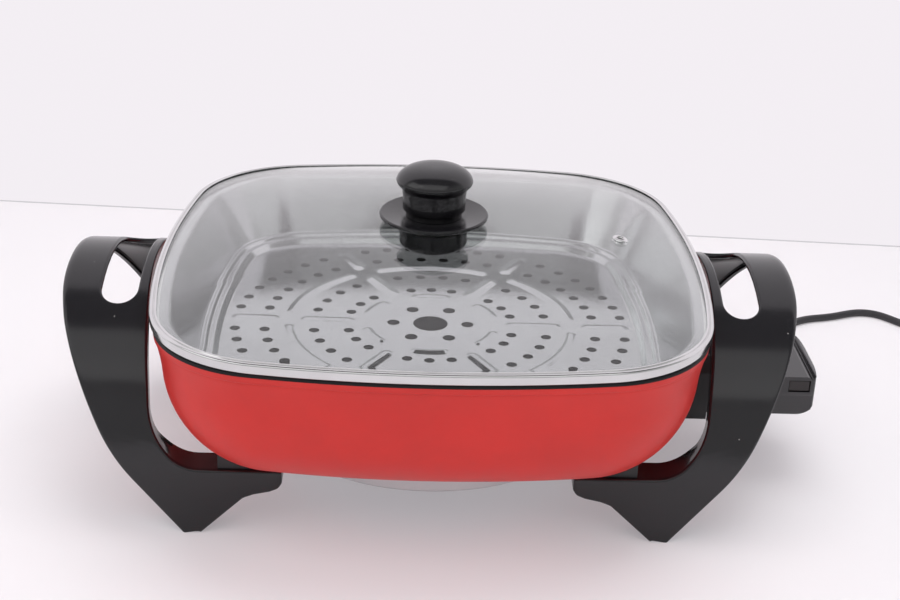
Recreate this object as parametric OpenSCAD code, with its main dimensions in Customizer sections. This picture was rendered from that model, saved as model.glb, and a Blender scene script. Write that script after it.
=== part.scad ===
// Electric skillet: square die-cast pan on two arched leg-and-handle
// mouldings, domed glass lid, hanging steamer tray and a plug-in
// thermostat control on a lead.
//
// Frame: the table is z = 0, +X points to the control, +Y is the back and
// the origin lies under the middle of the skillet with its control.
// Inside the modules x is measured from the pan's own centre; on_stand()
// moves each node to the row's origin.

/* [Lid] */
// Width of the lid over its steel rim, both ways
lid_w = 320; // [300:1:340]
// Radius of each of the four shallow side arcs
side_r = 592; // [450:1:900]
// Radius of the corner arcs of the lid
corner_r = 74; // [66:1:90]
// Height of the steel rim's upright band
rim_h = 5; // [4:0.5:8]
// Thickness of the steel rim
rim_t = 0.5; // [0.4:0.1:0.8]
// Width that the rim wraps over the glass
rim_wrap = 6; // [5:0.5:9]
// Thickness of the tempered glass
glass_t = 3.6; // [3:0.1:4]
// Rise of the glass dome from its edge to its middle
dome_rise = 21; // [14:1:30]
// How flat the dome's middle is: 2 is a parabola, more is flatter
dome_power = 2.3; // [2:0.1:3.5]
// Distance of the steam vent from the lid's right edge
vent_in = 49; // [35:1:80]
// Outer diameter of the vent's eyelet
vent_d = 9.4; // [8:0.2:12]

/* [Lid knob] */
// Diameter of the knob's cap
knob_d = 45; // [38:1:52]
// Height of the knob above its skirt
knob_h = 32; // [28:1:38]
// Diameter of the knob's neck
neck_d = 38; // [30:1:40]
// Diameter of the skirt that keeps fingers off the glass
skirt_d = 64; // [56:1:76]
// Diameter of the boss under the glass
boss_d = 40; // [30:1:44]
// Height of the boss under the glass
boss_h = 15; // [12:1:18]
// Diameter of the knob's screw
knob_screw_d = 5; // [4:0.5:6]

/* [Pan] */
// Inset of the pan's lip from the lid's rim, all round
pan_in = 3; // [1.5:0.5:4]
// Height of the pan's underside above the table
pan_clear = 42; // [36:1:50]
// Height of the pan from its underside to its lip
pan_h = 86; // [80:1:96]
// Corner radius of the pan's lip
pan_corner_r = 66; // [62:1:72]
// Radius that rounds the wall into the bottom
bottom_r = 60; // [50:1:62]
// Draft of the upper wall: inset per millimetre of depth
draft = 0.06; // [0.02:0.01:0.1]
// Thickness of the wall
pan_wall = 2.6; // [2:0.1:4]
// Thickness of the bottom
pan_floor = 3.6; // [3:0.1:6]
// Width of the lip that the tray and the lid rest on
lip_w = 7; // [6:0.5:9]
// Thickness of the lip
lip_t = 2; // [1.5:0.1:3]

/* [Heater] */
// Distance of the heater casting's edge from the pan's widest point
heater_in = 54; // [50:1:62]
// Thickness of the heater casting
heater_t = 10; // [9:0.5:12]
// Diameter of the sheathed element cast into it
element_d = 7; // [6:0.5:8]
// Distance of the element's loop from the heater casting's edge
loop_in = 25; // [14:1:40]
// Distance of each terminal pin from the sensor
pin_pitch = 15; // [13:0.5:18]
// Diameter of the terminal pins
pin_d = 5; // [4:0.5:6]

/* [Steamer tray] */
// Sheet thickness of the tray
tray_t = 1; // [0.8:0.1:1.4]
// Depth of the tray's floor below its rim
tray_depth = 41; // [34:1:46]
// Inset of the tray's hanging flange from the lid's rim
tray_in = 3.5; // [2:0.5:6]
// Inset of the tray's flat floor from the lid's rim
tray_floor_in = 36.5; // [32:0.5:40]
// Diameter of the hole in the middle
centre_hole_d = 21; // [16:1:26]
// Diameter of the six holes round it
hub_hole_d = 7.6; // [6:0.2:9]
// Radius of the circle of those six holes
hub_hole_r = 22.5; // [20:0.5:24]
// Diameter of the steam holes
steam_hole_d = 6.2; // [5:0.2:7]
// Radius of the inner pressed ring
inner_ring_r = 39.5; // [38:0.5:41]
// Radius of the outer pressed ring
outer_ring_r = 85.5; // [84:0.5:88]
// Width of the pressed ribs
rib_w = 9; // [6:0.5:9]
// Height of the pressed ribs
rib_h = 1.6; // [1:0.1:2.5]
// How far the pattern is turned from square, in degrees
pattern_turn = -0.7; // [-2:0.1:2]

/* [Handles and legs] */
// Half the spread of the legs, front to back, and the arch's radius
arch_r = 100; // [94:1:108]
// Height of the grip's top above the pan's lip
grip_rise = 4; // [2:1:10]
// How far the grip's outer edge stands out from the lid
grip_out = 53; // [48:1:60]
// Depth of the moulding, measured inwards from its outer face
band_t = 20; // [16:1:24]
// Thickness of the moulding's skin and walls
skin = 3; // [2.4:0.1:3.6]
// Width of the finger opening
finger_w = 24; // [22:1:28]
// Length of the finger opening
finger_l = 96; // [84:1:104]
// Width of the strip between the lid and the finger opening
strip_w = 8.5; // [7:0.5:12]
// Gap between the lid's rim and the moulding
lid_gap = 3; // [1.5:0.5:5]
// Inset of each foot's outer corner from the lid's rim
foot_in = 21; // [16:1:26]
// Inset of the arms' ends from the lid's rim
tip_in = 78; // [70:1:84]
// Inset of the screws that hold the arms
leg_screw_in = 50; // [46:1:54]
// Radius of the curve from the leg into the arm
knee_r = 20; // [14:1:24]
// Width of each foot on the table
foot_w = 11; // [8:1:16]
// Diameter of the screws that hold the legs to the pan
leg_screw_d = 4; // [3.5:0.5:5]

/* [Control socket] */
// Width of the terminal shroud
shroud_w = 76; // [72:1:84]
// Height of the terminal shroud
shroud_h = 38.5; // [36:0.5:44]
// Wall of the terminal shroud
shroud_t = 2.5; // [2:0.1:3]
// Depth of the socket that the control plugs into
socket_depth = 13.5; // [12:0.5:18]

/* [Thermostat control] */
// Width of the control's housing
control_w = 60; // [56:1:66]
// Height of the control's housing
control_h = 25; // [24:1:30]
// Length of the housing outside the shroud
control_l = 67.5; // [62:0.5:76]
// Thickness of the housing's wall
control_wall = 2.2; // [1.8:0.1:2.6]
// Diameter of the sensor rod
sensor_d = 6; // [5:0.5:7]
// Diameter of the temperature dial
dial_d = 36; // [32:1:38]
// Height of the temperature dial
dial_h = 9; // [7:0.5:11]
// Diameter of the dial's shaft
shaft_d = 6; // [5:0.5:7]

/* [Lead] */
// Diameter of the lead
lead_d = 5.5; // [5:0.1:7]
// Whole length of the lead, for the record
lead_length = 1000; // [800:10:1500]
// Length of the strain relief on the control
relief_l = 28; // [20:1:40]
// Radius of the coil at the middle of its turns
coil_r = 33; // [28:1:33]

/* [Hidden] */
NODES = [
    "pan_body", "heater_casting", "heating_element", "terminal_pins",
    "terminal_bushes", "terminal_shroud", "shroud_screws",
    "left_handle", "right_handle", "leg_brackets", "leg_screws",
    "leg_washers",
    "lid_glass", "lid_rim", "lid_knob", "knob_skirt", "knob_boss",
    "knob_gaskets", "knob_screw", "vent_eyelet",
    "steamer_tray",
    "control_base", "control_cover", "control_screws", "contact_block",
    "contact_sleeves", "sensor_rod", "thermostat_frame", "switch_blades",
    "neon_lamp", "lamp_lens", "strain_relief",
    "temperature_dial", "dial_shaft",
    "cord", "cord_coil", "plug_body", "plug_pins"
];

eps = 0.01;
fit = 0.05;          // radial clearance of a running fit
loose = 0.3;         // radial clearance of a loose one
side_n = 6;          // chords in each side arc
corner_n = 9;        // chords in each corner arc

half_w = lid_w / 2;
pan_w = lid_w - 2 * pan_in;
vent_x = half_w - vent_in;         // the steam vent, on the lid's right
heater_d = pan_w - 2 * heater_in;
element_loop_r = heater_d / 2 - loop_in;
lip_z = pan_clear + pan_h;
rim_z = lip_z + tray_t;            // underside of the lid's rim
rim_top = rim_z + rim_h;
grip_top = lip_z + grip_rise;
arch_z = grip_top - arch_r;        // height of the arch's axis

// The control's socket sits at the height of the sensor.
sensor_z = pan_clear + 18.5;
socket_x = half_w - 10;            // back plate of the shroud
mouth_x = socket_x + shroud_t + socket_depth;
control_x = mouth_x + 1;           // where the housing's full section starts
control_end = control_x + control_l;
shroud_z = sensor_z - control_h / 2 - 0.5;

// The skillet is stood so that its box is centred on the origin.
pan_x = (half_w + grip_out - control_end) / 2;
module on_stand() translate([pan_x, 0, 0]) children();

// ---------------------------------------------------------------- outline
// A rounded square: four shallow side arcs, joined by corner arcs that are
// tangent to them. a is half its width.
function corner_at(a, rs, rc) =
    let (g = rs - a, h = rs - rc) (sqrt(2 * h * h - g * g) - g) / 2;

function outline(a, rs, rc) =
    let (k = corner_at(a, rs, rc), t = atan2(k, k + rs - a))
    [for (q = [0:3], i = [0:side_n + corner_n - 1])
        let (
            on_side = i < side_n,
            u = on_side ? -t + 2 * t * i / side_n
                        : t + (90 - 2 * t) * (i - side_n) / corner_n,
            p = on_side ? [a - rs + rs * cos(u), rs * sin(u)]
                        : [k + rc * cos(u), k + rc * sin(u)]
        ) [p.x * cos(90 * q) - p.y * sin(90 * q),
           p.x * sin(90 * q) + p.y * cos(90 * q)]];

// Points along an arc in the plane
function arc(c, r, a0, a1, n) =
    [for (i = [0:n]) let (a = a0 + (a1 - a0) * i / n) c + r * [cos(a), sin(a)]];

function lift(points, z) = [for (p = points) [p.x, p.y, z]];

// A ring of the lid's or the pan's outline, moved inwards by d.
function lid_ring(d, z) =
    lift(outline(half_w - d, side_r - d, max(corner_r - d, 6)), z);
function pan_ring(d, z) =
    lift(outline(pan_w / 2 - d, side_r - d, max(pan_corner_r - d, 4)), z);

// A skin through rings of equal length. The rings run up the outside. An
// open list is closed with a flat cap at each end.
module loft(rings, loop = false) {
    n = len(rings[0]);
    m = len(rings);
    sides = [for (i = [0:loop ? m - 1 : m - 2], j = [0:n - 1])
        let (a = i * n + j, b = ((i + 1) % m) * n + j,
             c = ((i + 1) % m) * n + (j + 1) % n, d = i * n + (j + 1) % n)
        each [[a, b, c], [a, c, d]]];
    caps = [[for (j = [0:n - 1]) j],
            [for (j = [n - 1:-1:0]) (m - 1) * n + j]];
    polyhedron([for (r = rings) each r], loop ? sides : concat(sides, caps));
}

// A tube along points, with straight ends: a rings' frame follows the path.
function unit(v) = v / norm(v);
function heading(path, i) =
    unit(path[min(i + 1, len(path) - 1)] - path[max(i - 1, 0)]);
function tube_ring(p, dir, r, n) =
    let (s = unit(cross(dir, abs(dir.z) > 0.9 ? [0, 1, 0] : [0, 0, 1])),
         v = cross(dir, s))
    [for (i = [0:n - 1]) p + r * (cos(360 * i / n) * s + sin(360 * i / n) * v)];
module tube(path, r, n = 12)
    loft([for (i = [0:len(path) - 1])
        tube_ring(path[i], heading(path, i), r, n)]);

// ------------------------------------------------------------------- pan
bottom_top = pan_clear + bottom_r;         // where the wall starts to curve
function wall_inset(z) = draft * (lip_z - z)
    + (z >= bottom_top ? 0
       : bottom_r - sqrt(max(0, pow(bottom_r, 2) - pow(bottom_top - z, 2))));
function wall_x(z) = pan_w / 2 - wall_inset(z);   // outside of the wall

pan_arc_n = 8;
wall_top = lip_z - lip_t;
shoulder = 1.2;      // step from the lip in to the painted wall
// Heights of the outer wall's rings, from the bottom up to the lip
wall_z = concat(
    [for (i = [0:pan_arc_n]) bottom_top - bottom_r * cos(90 * i / pan_arc_n)],
    [bottom_top + (wall_top - bottom_top) / 2, wall_top - 2]);

module pan_outer(grow = 0)
    loft(concat(
        [for (z = wall_z) pan_ring(wall_inset(z) + shoulder - grow,
                                   z == wall_z[0] ? z - grow : z)],
        [pan_ring(shoulder - grow, wall_top + (grow > 0 ? 30 : 0))]));

module pan_shell() {
    inner_r = bottom_r - pan_wall;
    inner_z = pan_clear + pan_floor;
    inner_top = inner_z + inner_r;
    function inner_inset(z) = shoulder + pan_wall + draft * (lip_z - z)
        + (z >= inner_top ? 0
           : inner_r - sqrt(max(0, pow(inner_r, 2) - pow(inner_top - z, 2))));
    inner_heights = concat([wall_top],
        [for (i = [pan_arc_n:-1:0]) inner_top - inner_r * cos(90 * i / pan_arc_n)]);
    loft(concat(
        [for (z = wall_z) pan_ring(wall_inset(z) + shoulder, z)],
        [pan_ring(shoulder, wall_top - 0.6), pan_ring(0, wall_top),
         pan_ring(0, lip_z - 0.6), pan_ring(0.6, lip_z),
         pan_ring(lip_w, lip_z), pan_ring(lip_w, wall_top)],
        [for (z = inner_heights)
            pan_ring(max(inner_inset(z), lip_w), z == wall_top ? z - 1 : z)]));
}

// Cast bosses on the right wall: one for the sensor, two for the shroud
sensor_boss_d = 16;
lug_d = 10;
lug_y = shroud_w / 2 - 10;
lug_z = sensor_z + 14;
module across(x, l) translate([x, 0, 0]) rotate([90, 0, 90]) linear_extrude(l) children();
module along_x(x, y, z) translate([x, y, z]) rotate([0, 90, 0]) children();

module pan_body() color("crimson") {
    difference() {
        union() {
            pan_shell();
            translate([0, 0, pan_clear]) cylinder(d = heater_d, h = 3, $fn = 96);
            difference() {
                union() {
                    along_x(wall_x(sensor_z) - 12, 0, sensor_z)
                        cylinder(d = sensor_boss_d, h = socket_x - wall_x(sensor_z) + 12, $fn = 48);
                    for (s = [-1, 1]) along_x(wall_x(lug_z) - 8, s * lug_y, lug_z)
                        cylinder(d = lug_d, h = socket_x - wall_x(lug_z) + 8, $fn = 32);
                }
                loft([for (z = [wall_z[0] + 1, for (i = [1:len(wall_z) - 1]) wall_z[i]])
                    pan_ring(wall_inset(z) + shoulder + pan_wall * 0.6, z)]);
            }
        }
        along_x(wall_x(sensor_z) + 2, 0, sensor_z)
            cylinder(d = sensor_d + 2 * loose, h = 60, $fn = 32);
        for (s = [-1, 1]) along_x(wall_x(lug_z) - 1.2, s * lug_y, lug_z)
            cylinder(d = 3.2, h = 20, $fn = 24);
    }
}

// ---------------------------------------------------------------- heater
heater_z = pan_clear - heater_t;
element_z = heater_z + heater_t / 2;
bend_r = 12;                       // bend from the loop to each cold end
element_turn = asin((pin_pitch + bend_r) / (element_loop_r + bend_r));
bend_x = (element_loop_r + bend_r) * cos(element_turn);
elbow_r = 12;                      // the bends where they rise, 45 degrees each
rise = sensor_z - element_z;
slope_l = (rise - 2 * elbow_r * (1 - cos(45))) / sin(45);
rise_x = 2 * elbow_r * sin(45) + slope_l * cos(45);
lead_out = socket_x - 3 - rise_x;  // where the cold ends start to rise

// Centre line of one cold end from its tip to the loop, for y > 0: inwards,
// down at 45 degrees, inwards, and round the bend
function cold_end() = concat(
    [[socket_x - 2, pin_pitch, sensor_z]],
    [for (p = arc([lead_out + rise_x, sensor_z - elbow_r], elbow_r, 90, 135, 3))
        [p.x, pin_pitch, p.y]],
    [for (p = arc([lead_out, element_z + elbow_r], elbow_r, 315, 270, 3))
        [p.x, pin_pitch, p.y]],
    lift(arc([bend_x, pin_pitch + bend_r], bend_r, 270, 190 + element_turn, 5), element_z));

// The loop and its two cold ends, as a solid of diameter d
module element_form(d) {
    back = cold_end();
    tube(concat(
        back,
        lift(arc([0, 0], element_loop_r, element_turn, 360 - element_turn, 44), element_z),
        [for (i = [len(back) - 1:-1:0]) [back[i].x, -back[i].y, back[i].z]]),
        d / 2, 12);
}

module heater_casting() color("silver") difference() {
    union() {
        translate([0, 0, heater_z + 1]) cylinder(d = heater_d, h = heater_t - 1, $fn = 96);
        translate([0, 0, heater_z]) cylinder(d1 = heater_d - 2, d2 = heater_d, h = 1 + eps, $fn = 96);
    }
    element_form(element_d);
    // a shallow pocket in the middle keeps the casting's walls even
    translate([0, 0, heater_z - 1])
        cylinder(r = element_loop_r - element_d - 6, h = heater_t / 2 + 1, $fn = 72);
}

module heating_element() color("gray") element_form(element_d);

pin_tip = mouth_x - 1;
module terminal_pins() color("gold") for (s = [-1, 1]) {
    along_x(socket_x - 2, s * pin_pitch, sensor_z)
        cylinder(d = pin_d, h = pin_tip - socket_x, $fn = 32);
    along_x(pin_tip - 2, s * pin_pitch, sensor_z)
        cylinder(d1 = pin_d, d2 = pin_d - 2, h = 2, $fn = 32);
}

bush_d = pin_d + 4;
module terminal_bushes() color("white") for (s = [-1, 1])
    along_x(socket_x - 1, s * pin_pitch, sensor_z) difference() {
        union() {
            cylinder(d = bush_d + 2.4, h = 1, $fn = 32);
            cylinder(d = bush_d, h = shroud_t + 2, $fn = 32);
        }
        translate([0, 0, -1]) cylinder(d = pin_d, h = 10, $fn = 32);
    }

// ---------------------------------------------------------------- shroud
// Its section across the control, with a chamfered roof
module shroud_section(d) {
    w = shroud_w / 2 - d;
    low = shroud_z + d;
    high = shroud_z + shroud_h - d;
    c = 8 - 0.41 * d;
    polygon([[-w, low], [w, low], [w, high - c], [w - c, high],
             [-w + c, high], [-w, high - c]]);
}

module terminal_shroud() color("dimgray") difference() {
    union() {
        difference() {
            across(wall_x(sensor_z) - 6, mouth_x - wall_x(sensor_z) + 6) shroud_section(0);
            across(wall_x(sensor_z) - 7, mouth_x - wall_x(sensor_z) + 9) shroud_section(shroud_t);
            // open below, on the pan's side of the back plate
            translate([0, -shroud_w / 2 + shroud_t, shroud_z - 1])
                cube([socket_x, shroud_w - 2 * shroud_t, shroud_t + 2]);
        }
        across(socket_x, shroud_t) shroud_section(0);
    }
    pan_outer(0.6);
    along_x(socket_x - 1, 0, sensor_z) cylinder(d = sensor_d + 3, h = 10, $fn = 32);
    for (s = [-1, 1]) {
        along_x(socket_x - 1, s * pin_pitch, sensor_z) cylinder(d = bush_d, h = 10, $fn = 32);
        along_x(socket_x - 1, s * lug_y, lug_z) cylinder(d = 3.6, h = 10, $fn = 24);
    }
}

module pan_screw(shank_d, head_d, head_h, l) {
    cylinder(d = shank_d, h = l + eps, $fn = 24);
    translate([0, 0, l]) difference() {
        cylinder(d = head_d, h = head_h, $fn = 32);
        for (a = [0, 90]) rotate([0, 0, a])
            translate([-head_d / 3, -0.5, head_h - 1]) cube([head_d / 1.5, 1, 2]);
    }
}
module shroud_screws() color("silver") for (s = [-1, 1])
    along_x(wall_x(lug_z) - 1, s * lug_y, lug_z)
        pan_screw(3.1, 6, 2, socket_x + shroud_t - wall_x(lug_z) + 1);

// ------------------------------------------------------ handles and legs
arm_top = pan_clear - 1;           // top edge of the arm under the pan
foot_x = half_w - foot_in - foot_w; // inner corner of the foot
tip_x = half_w - tip_in;           // end of the arm
leg_screw_x = half_w - leg_screw_in;
leg_screw_y = arch_r - band_t / 2;
leg_screw_seat = arm_top - 7;
flank_r = 1.5 * arch_r;            // how the outer flank curves above the foot
brow_r = 0.6 * arch_r;             // and where it turns up into the grip

// An arc of radius r that rounds the corner b of the line a-b-c, turning left
function fillet(a, b, c, r, n) =
    let (u = unit(a - b), v = unit(c - b), h = acos(u * v) / 2,
         m = b + unit(u + v) * r / sin(h), s = b + u * r / tan(h) - m,
         a0 = atan2(s.y, s.x))
    arc(m, r, a0, a0 + 180 - 2 * h, n);

// Front outline of one moulding, for the right side, anticlockwise: the
// foot, the outer flank, the grip, and the arm's stepped end. What lies
// between the grip and the arm is cut away by leg_cut().
function leg_outline() =
    let (foot = [foot_x + foot_w, 0],
         low = [half_w + grip_out - 0.36 * arch_r, arm_top + 0.33 * band_t],
         brow = [half_w + grip_out, grip_top - 0.155 * arch_r],
         top = [half_w + grip_out, grip_top + 5])
    concat([[foot_x, 0], foot], fillet(foot, low, brow, flank_r, 4),
        fillet(low, brow, top, brow_r, 6), [top,
        [half_w - 0.6 * band_t, grip_top + 5], [half_w - 0.6 * band_t, arm_top + 3],
        [tip_x + 1, arm_top + 3], [tip_x + 1, arm_top], [tip_x, arm_top - 1.5],
        [tip_x, arm_top - 0.4 * band_t], [tip_x + 2.5, arm_top - 0.575 * band_t],
        [tip_x + 0.35 * band_t, arm_top - 0.67 * band_t],
        [tip_x + 0.8 * band_t, arm_top - 0.775 * band_t],
        [tip_x + 1.1 * band_t, arm_top - 0.9 * band_t]]);

// The same outline moved inwards by d, one corner at a time
function moved_in(pts, d) = [for (i = [0:len(pts) - 1])
    let (n = len(pts), a = pts[(i + n - 1) % n], b = pts[i], c = pts[(i + 1) % n],
         u = unit(b - a), v = unit(c - b),
         nu = [-u.y, u.x], nv = [-v.y, v.x])
    b + d * (nu + nv) / (1 + nu * nv)];

module leg_plate(d) rotate([90, 0, 0])
    linear_extrude(2 * arch_r + 2, center = true) polygon(moved_in(leg_outline(), d));

// The arch from the front foot over the grip to the back foot
module arch(r) across(half_w - 0.9 * arch_r, grip_out + 0.95 * arch_r)
    polygon(concat(arc([0, arch_z], r, 0, 180, 48), [[-r, -1], [r, -1]]));

// Inner edge of the moulding: beside the lid's rim, with a gap
function edge_x(y, gap) = half_w - side_r + sqrt(pow(side_r + gap, 2) - y * y);
leg_near = 0.74 * arch_r;            // the legs' inner edge is straight from here
leg_lean = atan((edge_x(leg_near, lid_gap) - edge_x(arch_r, lid_gap)) / (arch_r - leg_near));

// Clears the space between the grip and the arm, grown by d. Along the lid
// it follows the rim; the legs' inner faces are flat and curve into the arm.
module leg_cut(d) {
    knee_top = arm_top + knee_r;
    for (m = [0, 1]) mirror([0, m, 0]) translate([edge_x(arch_r, lid_gap), arch_r, 0])
        rotate([0, 0, leg_lean]) rotate([90, 0, 0]) translate([0, 0, -20])
            linear_extrude(arch_r - leg_near + 20) polygon(concat(
                arc([-knee_r, knee_top], knee_r + d, 0, -90, 8),
                [[-0.9 * arch_r, arm_top - d], [-0.9 * arch_r, knee_top]]));
    straight = [for (y = [leg_near, arch_r + 4])
        [edge_x(arch_r, lid_gap) + (arch_r - y) * tan(leg_lean) + d / cos(leg_lean), y]];
    translate([0, 0, knee_top]) linear_extrude(2 * grip_top) polygon(concat(
        [[half_w - 0.9 * arch_r, arch_r + 4], [half_w - 0.9 * arch_r, -arch_r - 4]],
        [for (p = [straight[1], straight[0]]) [p.x, -p.y]],
        [for (i = [-4:4]) let (y = leg_near * i / 5) [edge_x(y, lid_gap + d), y]],
        straight));
}

finger_x = half_w + lid_gap + strip_w;
module finger_hole(d) {
    r = 10 + d;
    x0 = finger_x - d + r;
    x1 = finger_x + finger_w + d - r;
    y1 = finger_l / 2 + d - r;
    translate([0, 0, arch_z + band_t]) linear_extrude(arch_r) polygon(concat(
        arc([x1, y1], r, 0, 90, 6), arc([x0, y1], r, 90, 180, 6),
        arc([x0, -y1], r, 180, 270, 6), arc([x1, -y1], r, 270, 360, 6)));
}

rib_at = [arm_top / 3, arch_z + 0.3 * arch_r, arch_z + 0.6 * arch_r];             // heights of the cross ribs in the legs
module handle_hollow() difference() {
    intersection() { leg_plate(skin); arch(arch_r - skin); }
    leg_cut(skin);
    finger_hole(skin);
    for (z = rib_at) translate([half_w - arch_r, -arch_r, z])
        cube([2 * arch_r, 2 * arch_r, skin * 0.8]);
    for (s = [-1, 1]) translate([leg_screw_x, s * leg_screw_y, 0])
        cylinder(r = band_t / 2 - 1.5, h = arm_top + 1, $fn = 32);
}
module handle_moulding() difference() {
    intersection() { leg_plate(0); arch(arch_r); }
    arch(arch_r - band_t);
    leg_cut(0);
    finger_hole(0);
    handle_hollow();
    for (s = [-1, 1]) translate([leg_screw_x, s * leg_screw_y, 0]) {
        translate([0, 0, -1]) cylinder(d = 2 * leg_screw_d + 2, h = leg_screw_seat + 1, $fn = 32);
        cylinder(d = leg_screw_d + 0.4, h = pan_clear + bottom_r, $fn = 32);
    }
}
module right_handle() color("#222222") handle_moulding();
module left_handle() color("#222222") mirror([1, 0, 0]) handle_moulding();

module each_leg() for (s = [-1, 1], t = [-1, 1])
    scale([s, t, 1]) translate([leg_screw_x, leg_screw_y, 0]) children();

bracket_top = arm_top + 3;
module leg_brackets() color("#444448") difference() {
    for (s = [-1, 1], t = [-1, 1]) mirror([s < 0 ? 1 : 0, 0, 0]) mirror([0, t < 0 ? 1 : 0, 0])
        translate([leg_screw_x - 1.1 * band_t, arch_r - band_t + 3, arm_top])
            cube([1.5 * band_t, band_t - 6, band_t]);
    pan_outer(0);
    for (s = [-1, 1], t = [-1, 1]) translate([s * leg_screw_x, t * leg_screw_y, 0])
        cylinder(d = leg_screw_d, h = bracket_top, $fn = 32);
}
washer_t = 0.8;
module leg_screws() color("silver")
    for (s = [-1, 1], t = [-1, 1]) translate([s * leg_screw_x, t * leg_screw_y, bracket_top - 0.5])
        mirror([0, 0, 1])
            pan_screw(leg_screw_d - 2 * fit, 2 * leg_screw_d, 2.4,
                      bracket_top - 0.5 - leg_screw_seat + washer_t);
module leg_washers() color("gainsboro")
    for (s = [-1, 1], t = [-1, 1]) translate([s * leg_screw_x, t * leg_screw_y, leg_screw_seat - washer_t])
        difference() {
            cylinder(d = 2 * leg_screw_d + 1, h = washer_t, $fn = 32);
            translate([0, 0, -1]) cylinder(d = leg_screw_d + 0.3, h = 5, $fn = 32);
        }

// ------------------------------------------------------------------- lid
glass_in = 0.4 + rim_t;            // glass edge, in from the rim's face
glass_edge_z = rim_top - rim_t - 0.1;
glass_half = half_w - glass_in;
flat_s = boss_d / 2 / glass_half;  // the middle is flat for the knob
function dome_s(s) = max(0, s - flat_s) / (1 - flat_s);
function dome_z(s) = glass_edge_z + dome_rise * (1 - pow(dome_s(s), dome_power));

// A ring of the dome at s times its width. It follows the lid's outline at
// the edge and becomes a circle towards the knob.
function dome_ring(s, drop = 0) =
    let (o = outline(glass_half, side_r - glass_in, corner_r - glass_in), w = s * s)
    [for (p = o) let (q = s * (w * p + (1 - w) * glass_half * unit(p)))
        [q.x, q.y, dome_z(s) - drop]];

hub_s = (knob_screw_d / 2 + 1) / glass_half;
glass_s = [1, 0.965, 0.92, 0.86, 0.78, 0.68, 0.55, 0.4, 0.25, flat_s, hub_s];
vent_s = vent_x / glass_half;
vent_slope = atan(dome_rise * dome_power * pow(dome_s(vent_s), dome_power - 1)
    / glass_half / (1 - flat_s));
module at_vent() translate([vent_x, 0, dome_z(vent_s)]) rotate([0, vent_slope, 0]) children();

module lid_glass() color("lightcyan", 0.4) difference() {
    loft(concat(
        [for (i = [len(glass_s) - 1:-1:0]) dome_ring(glass_s[i], glass_t)],
        [dome_ring(1, glass_t - 0.6), dome_ring(1, 0.4)],
        [for (i = [0:len(glass_s) - 1]) dome_ring(i == 0 ? 0.9975 : glass_s[i], 0)]), loop = true);
    at_vent() translate([0, 0, -12]) cylinder(d = vent_d - 3, h = 24, $fn = 32);
}

module lid_rim() color("silver") {
    in_z = dome_z(1 - rim_wrap / half_w) + 0.25;
    loft(concat(
        [lid_ring(rim_wrap, rim_z), lid_ring(0.4, rim_z), lid_ring(0, rim_z + 0.4),
         lid_ring(0, rim_top - 1), lid_ring(0.3, rim_top - 0.3), lid_ring(1, rim_top),
         lid_ring(rim_wrap / 2, (rim_top + in_z + rim_t) / 2 + 0.2),
         lid_ring(rim_wrap, in_z + rim_t)],
        [lid_ring(rim_wrap, in_z), lid_ring(rim_wrap / 2, (rim_top + in_z + rim_t) / 2 + 0.2 - rim_t),
         lid_ring(1, rim_top - rim_t - 0.02), lid_ring(rim_t, rim_top - rim_t - 0.4),
         lid_ring(rim_t, rim_z + rim_t), lid_ring(rim_wrap, rim_z + rim_t)]), loop = true);
}

gasket_t = 0.8;
glass_top = dome_z(0);
skirt_z = glass_top + gasket_t;
skirt_up = 5.6;                    // rise of the skirt's edge over its hub
skirt_t = 2.6;
module knob_skirt() color("#222222") rotate_extrude($fn = 96) polygon([
    [knob_screw_d / 2 + 0.2, skirt_z], [neck_d / 2, skirt_z],
    [skirt_d / 2 - 4, skirt_z + skirt_up - skirt_t - 1.2],
    [skirt_d / 2 - 0.8, skirt_z + skirt_up - skirt_t],
    [skirt_d / 2, skirt_z + skirt_up - skirt_t + 0.8],
    [skirt_d / 2, skirt_z + skirt_up - 0.6], [skirt_d / 2 - 0.6, skirt_z + skirt_up],
    [skirt_d / 2 - 2, skirt_z + skirt_up - 0.1],
    [neck_d / 2 + 1, skirt_z + skirt_up - 1.4], [neck_d / 2 - 2.5, skirt_z + skirt_up - 1.6],
    [knob_screw_d / 2 + 0.2, skirt_z + skirt_up - 1.6]]);

knob_z = skirt_z + skirt_up - 1.6; // underside of the knob
cap_h = 10;                        // from the cap's edge to its top
module lid_knob() color("#222222") difference() {
    rotate_extrude($fn = 96) {
        edge = knob_z + knob_h - cap_h;
        polygon(concat(
            [[0, knob_z], [neck_d / 2 - 2.5, knob_z], [neck_d / 2 - 2.5, knob_z + 3.4],
             [neck_d / 2 - 0.6, knob_z + 4]],
            [for (i = [0:4]) let (u = i / 4)
                [neck_d / 2 - 0.6 + 0.6 * u * u, knob_z + 4 + (edge - 5 - knob_z - 4) * u]],
            [for (i = [1:4]) let (u = -50 + 12.5 * i)
                [knob_d / 2 - 3 + 3 * cos(u), edge + 3.6 * sin(u)]],
            [for (i = [1:9]) let (u = 90 * i / 9)
                [knob_d / 2 * pow(cos(u), 0.72), edge + cap_h * pow(sin(u), 1.25)]]));
    }
    translate([0, 0, knob_z - 1]) cylinder(d = knob_screw_d + 2 * fit, h = 19, $fn = 32);
}

glass_under = glass_top - glass_t;
boss_top = glass_under - gasket_t;
module knob_boss() color("#222222") rotate_extrude($fn = 72) difference() {
    union() {
        translate([0, boss_top - boss_h + 6]) square([boss_d / 2, boss_h - 6]);
        translate([0, boss_top - boss_h]) square([boss_d / 2 - 6, boss_h]);
        translate([boss_d / 2 - 6, boss_top - boss_h + 6]) circle(r = 6, $fn = 48);
    }
    square([knob_screw_d / 2 + fit, boss_top + 2 * knob_h]);
    translate([0, boss_top - boss_h - 1]) square([knob_screw_d + 1, boss_h - 5]);
}

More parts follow.
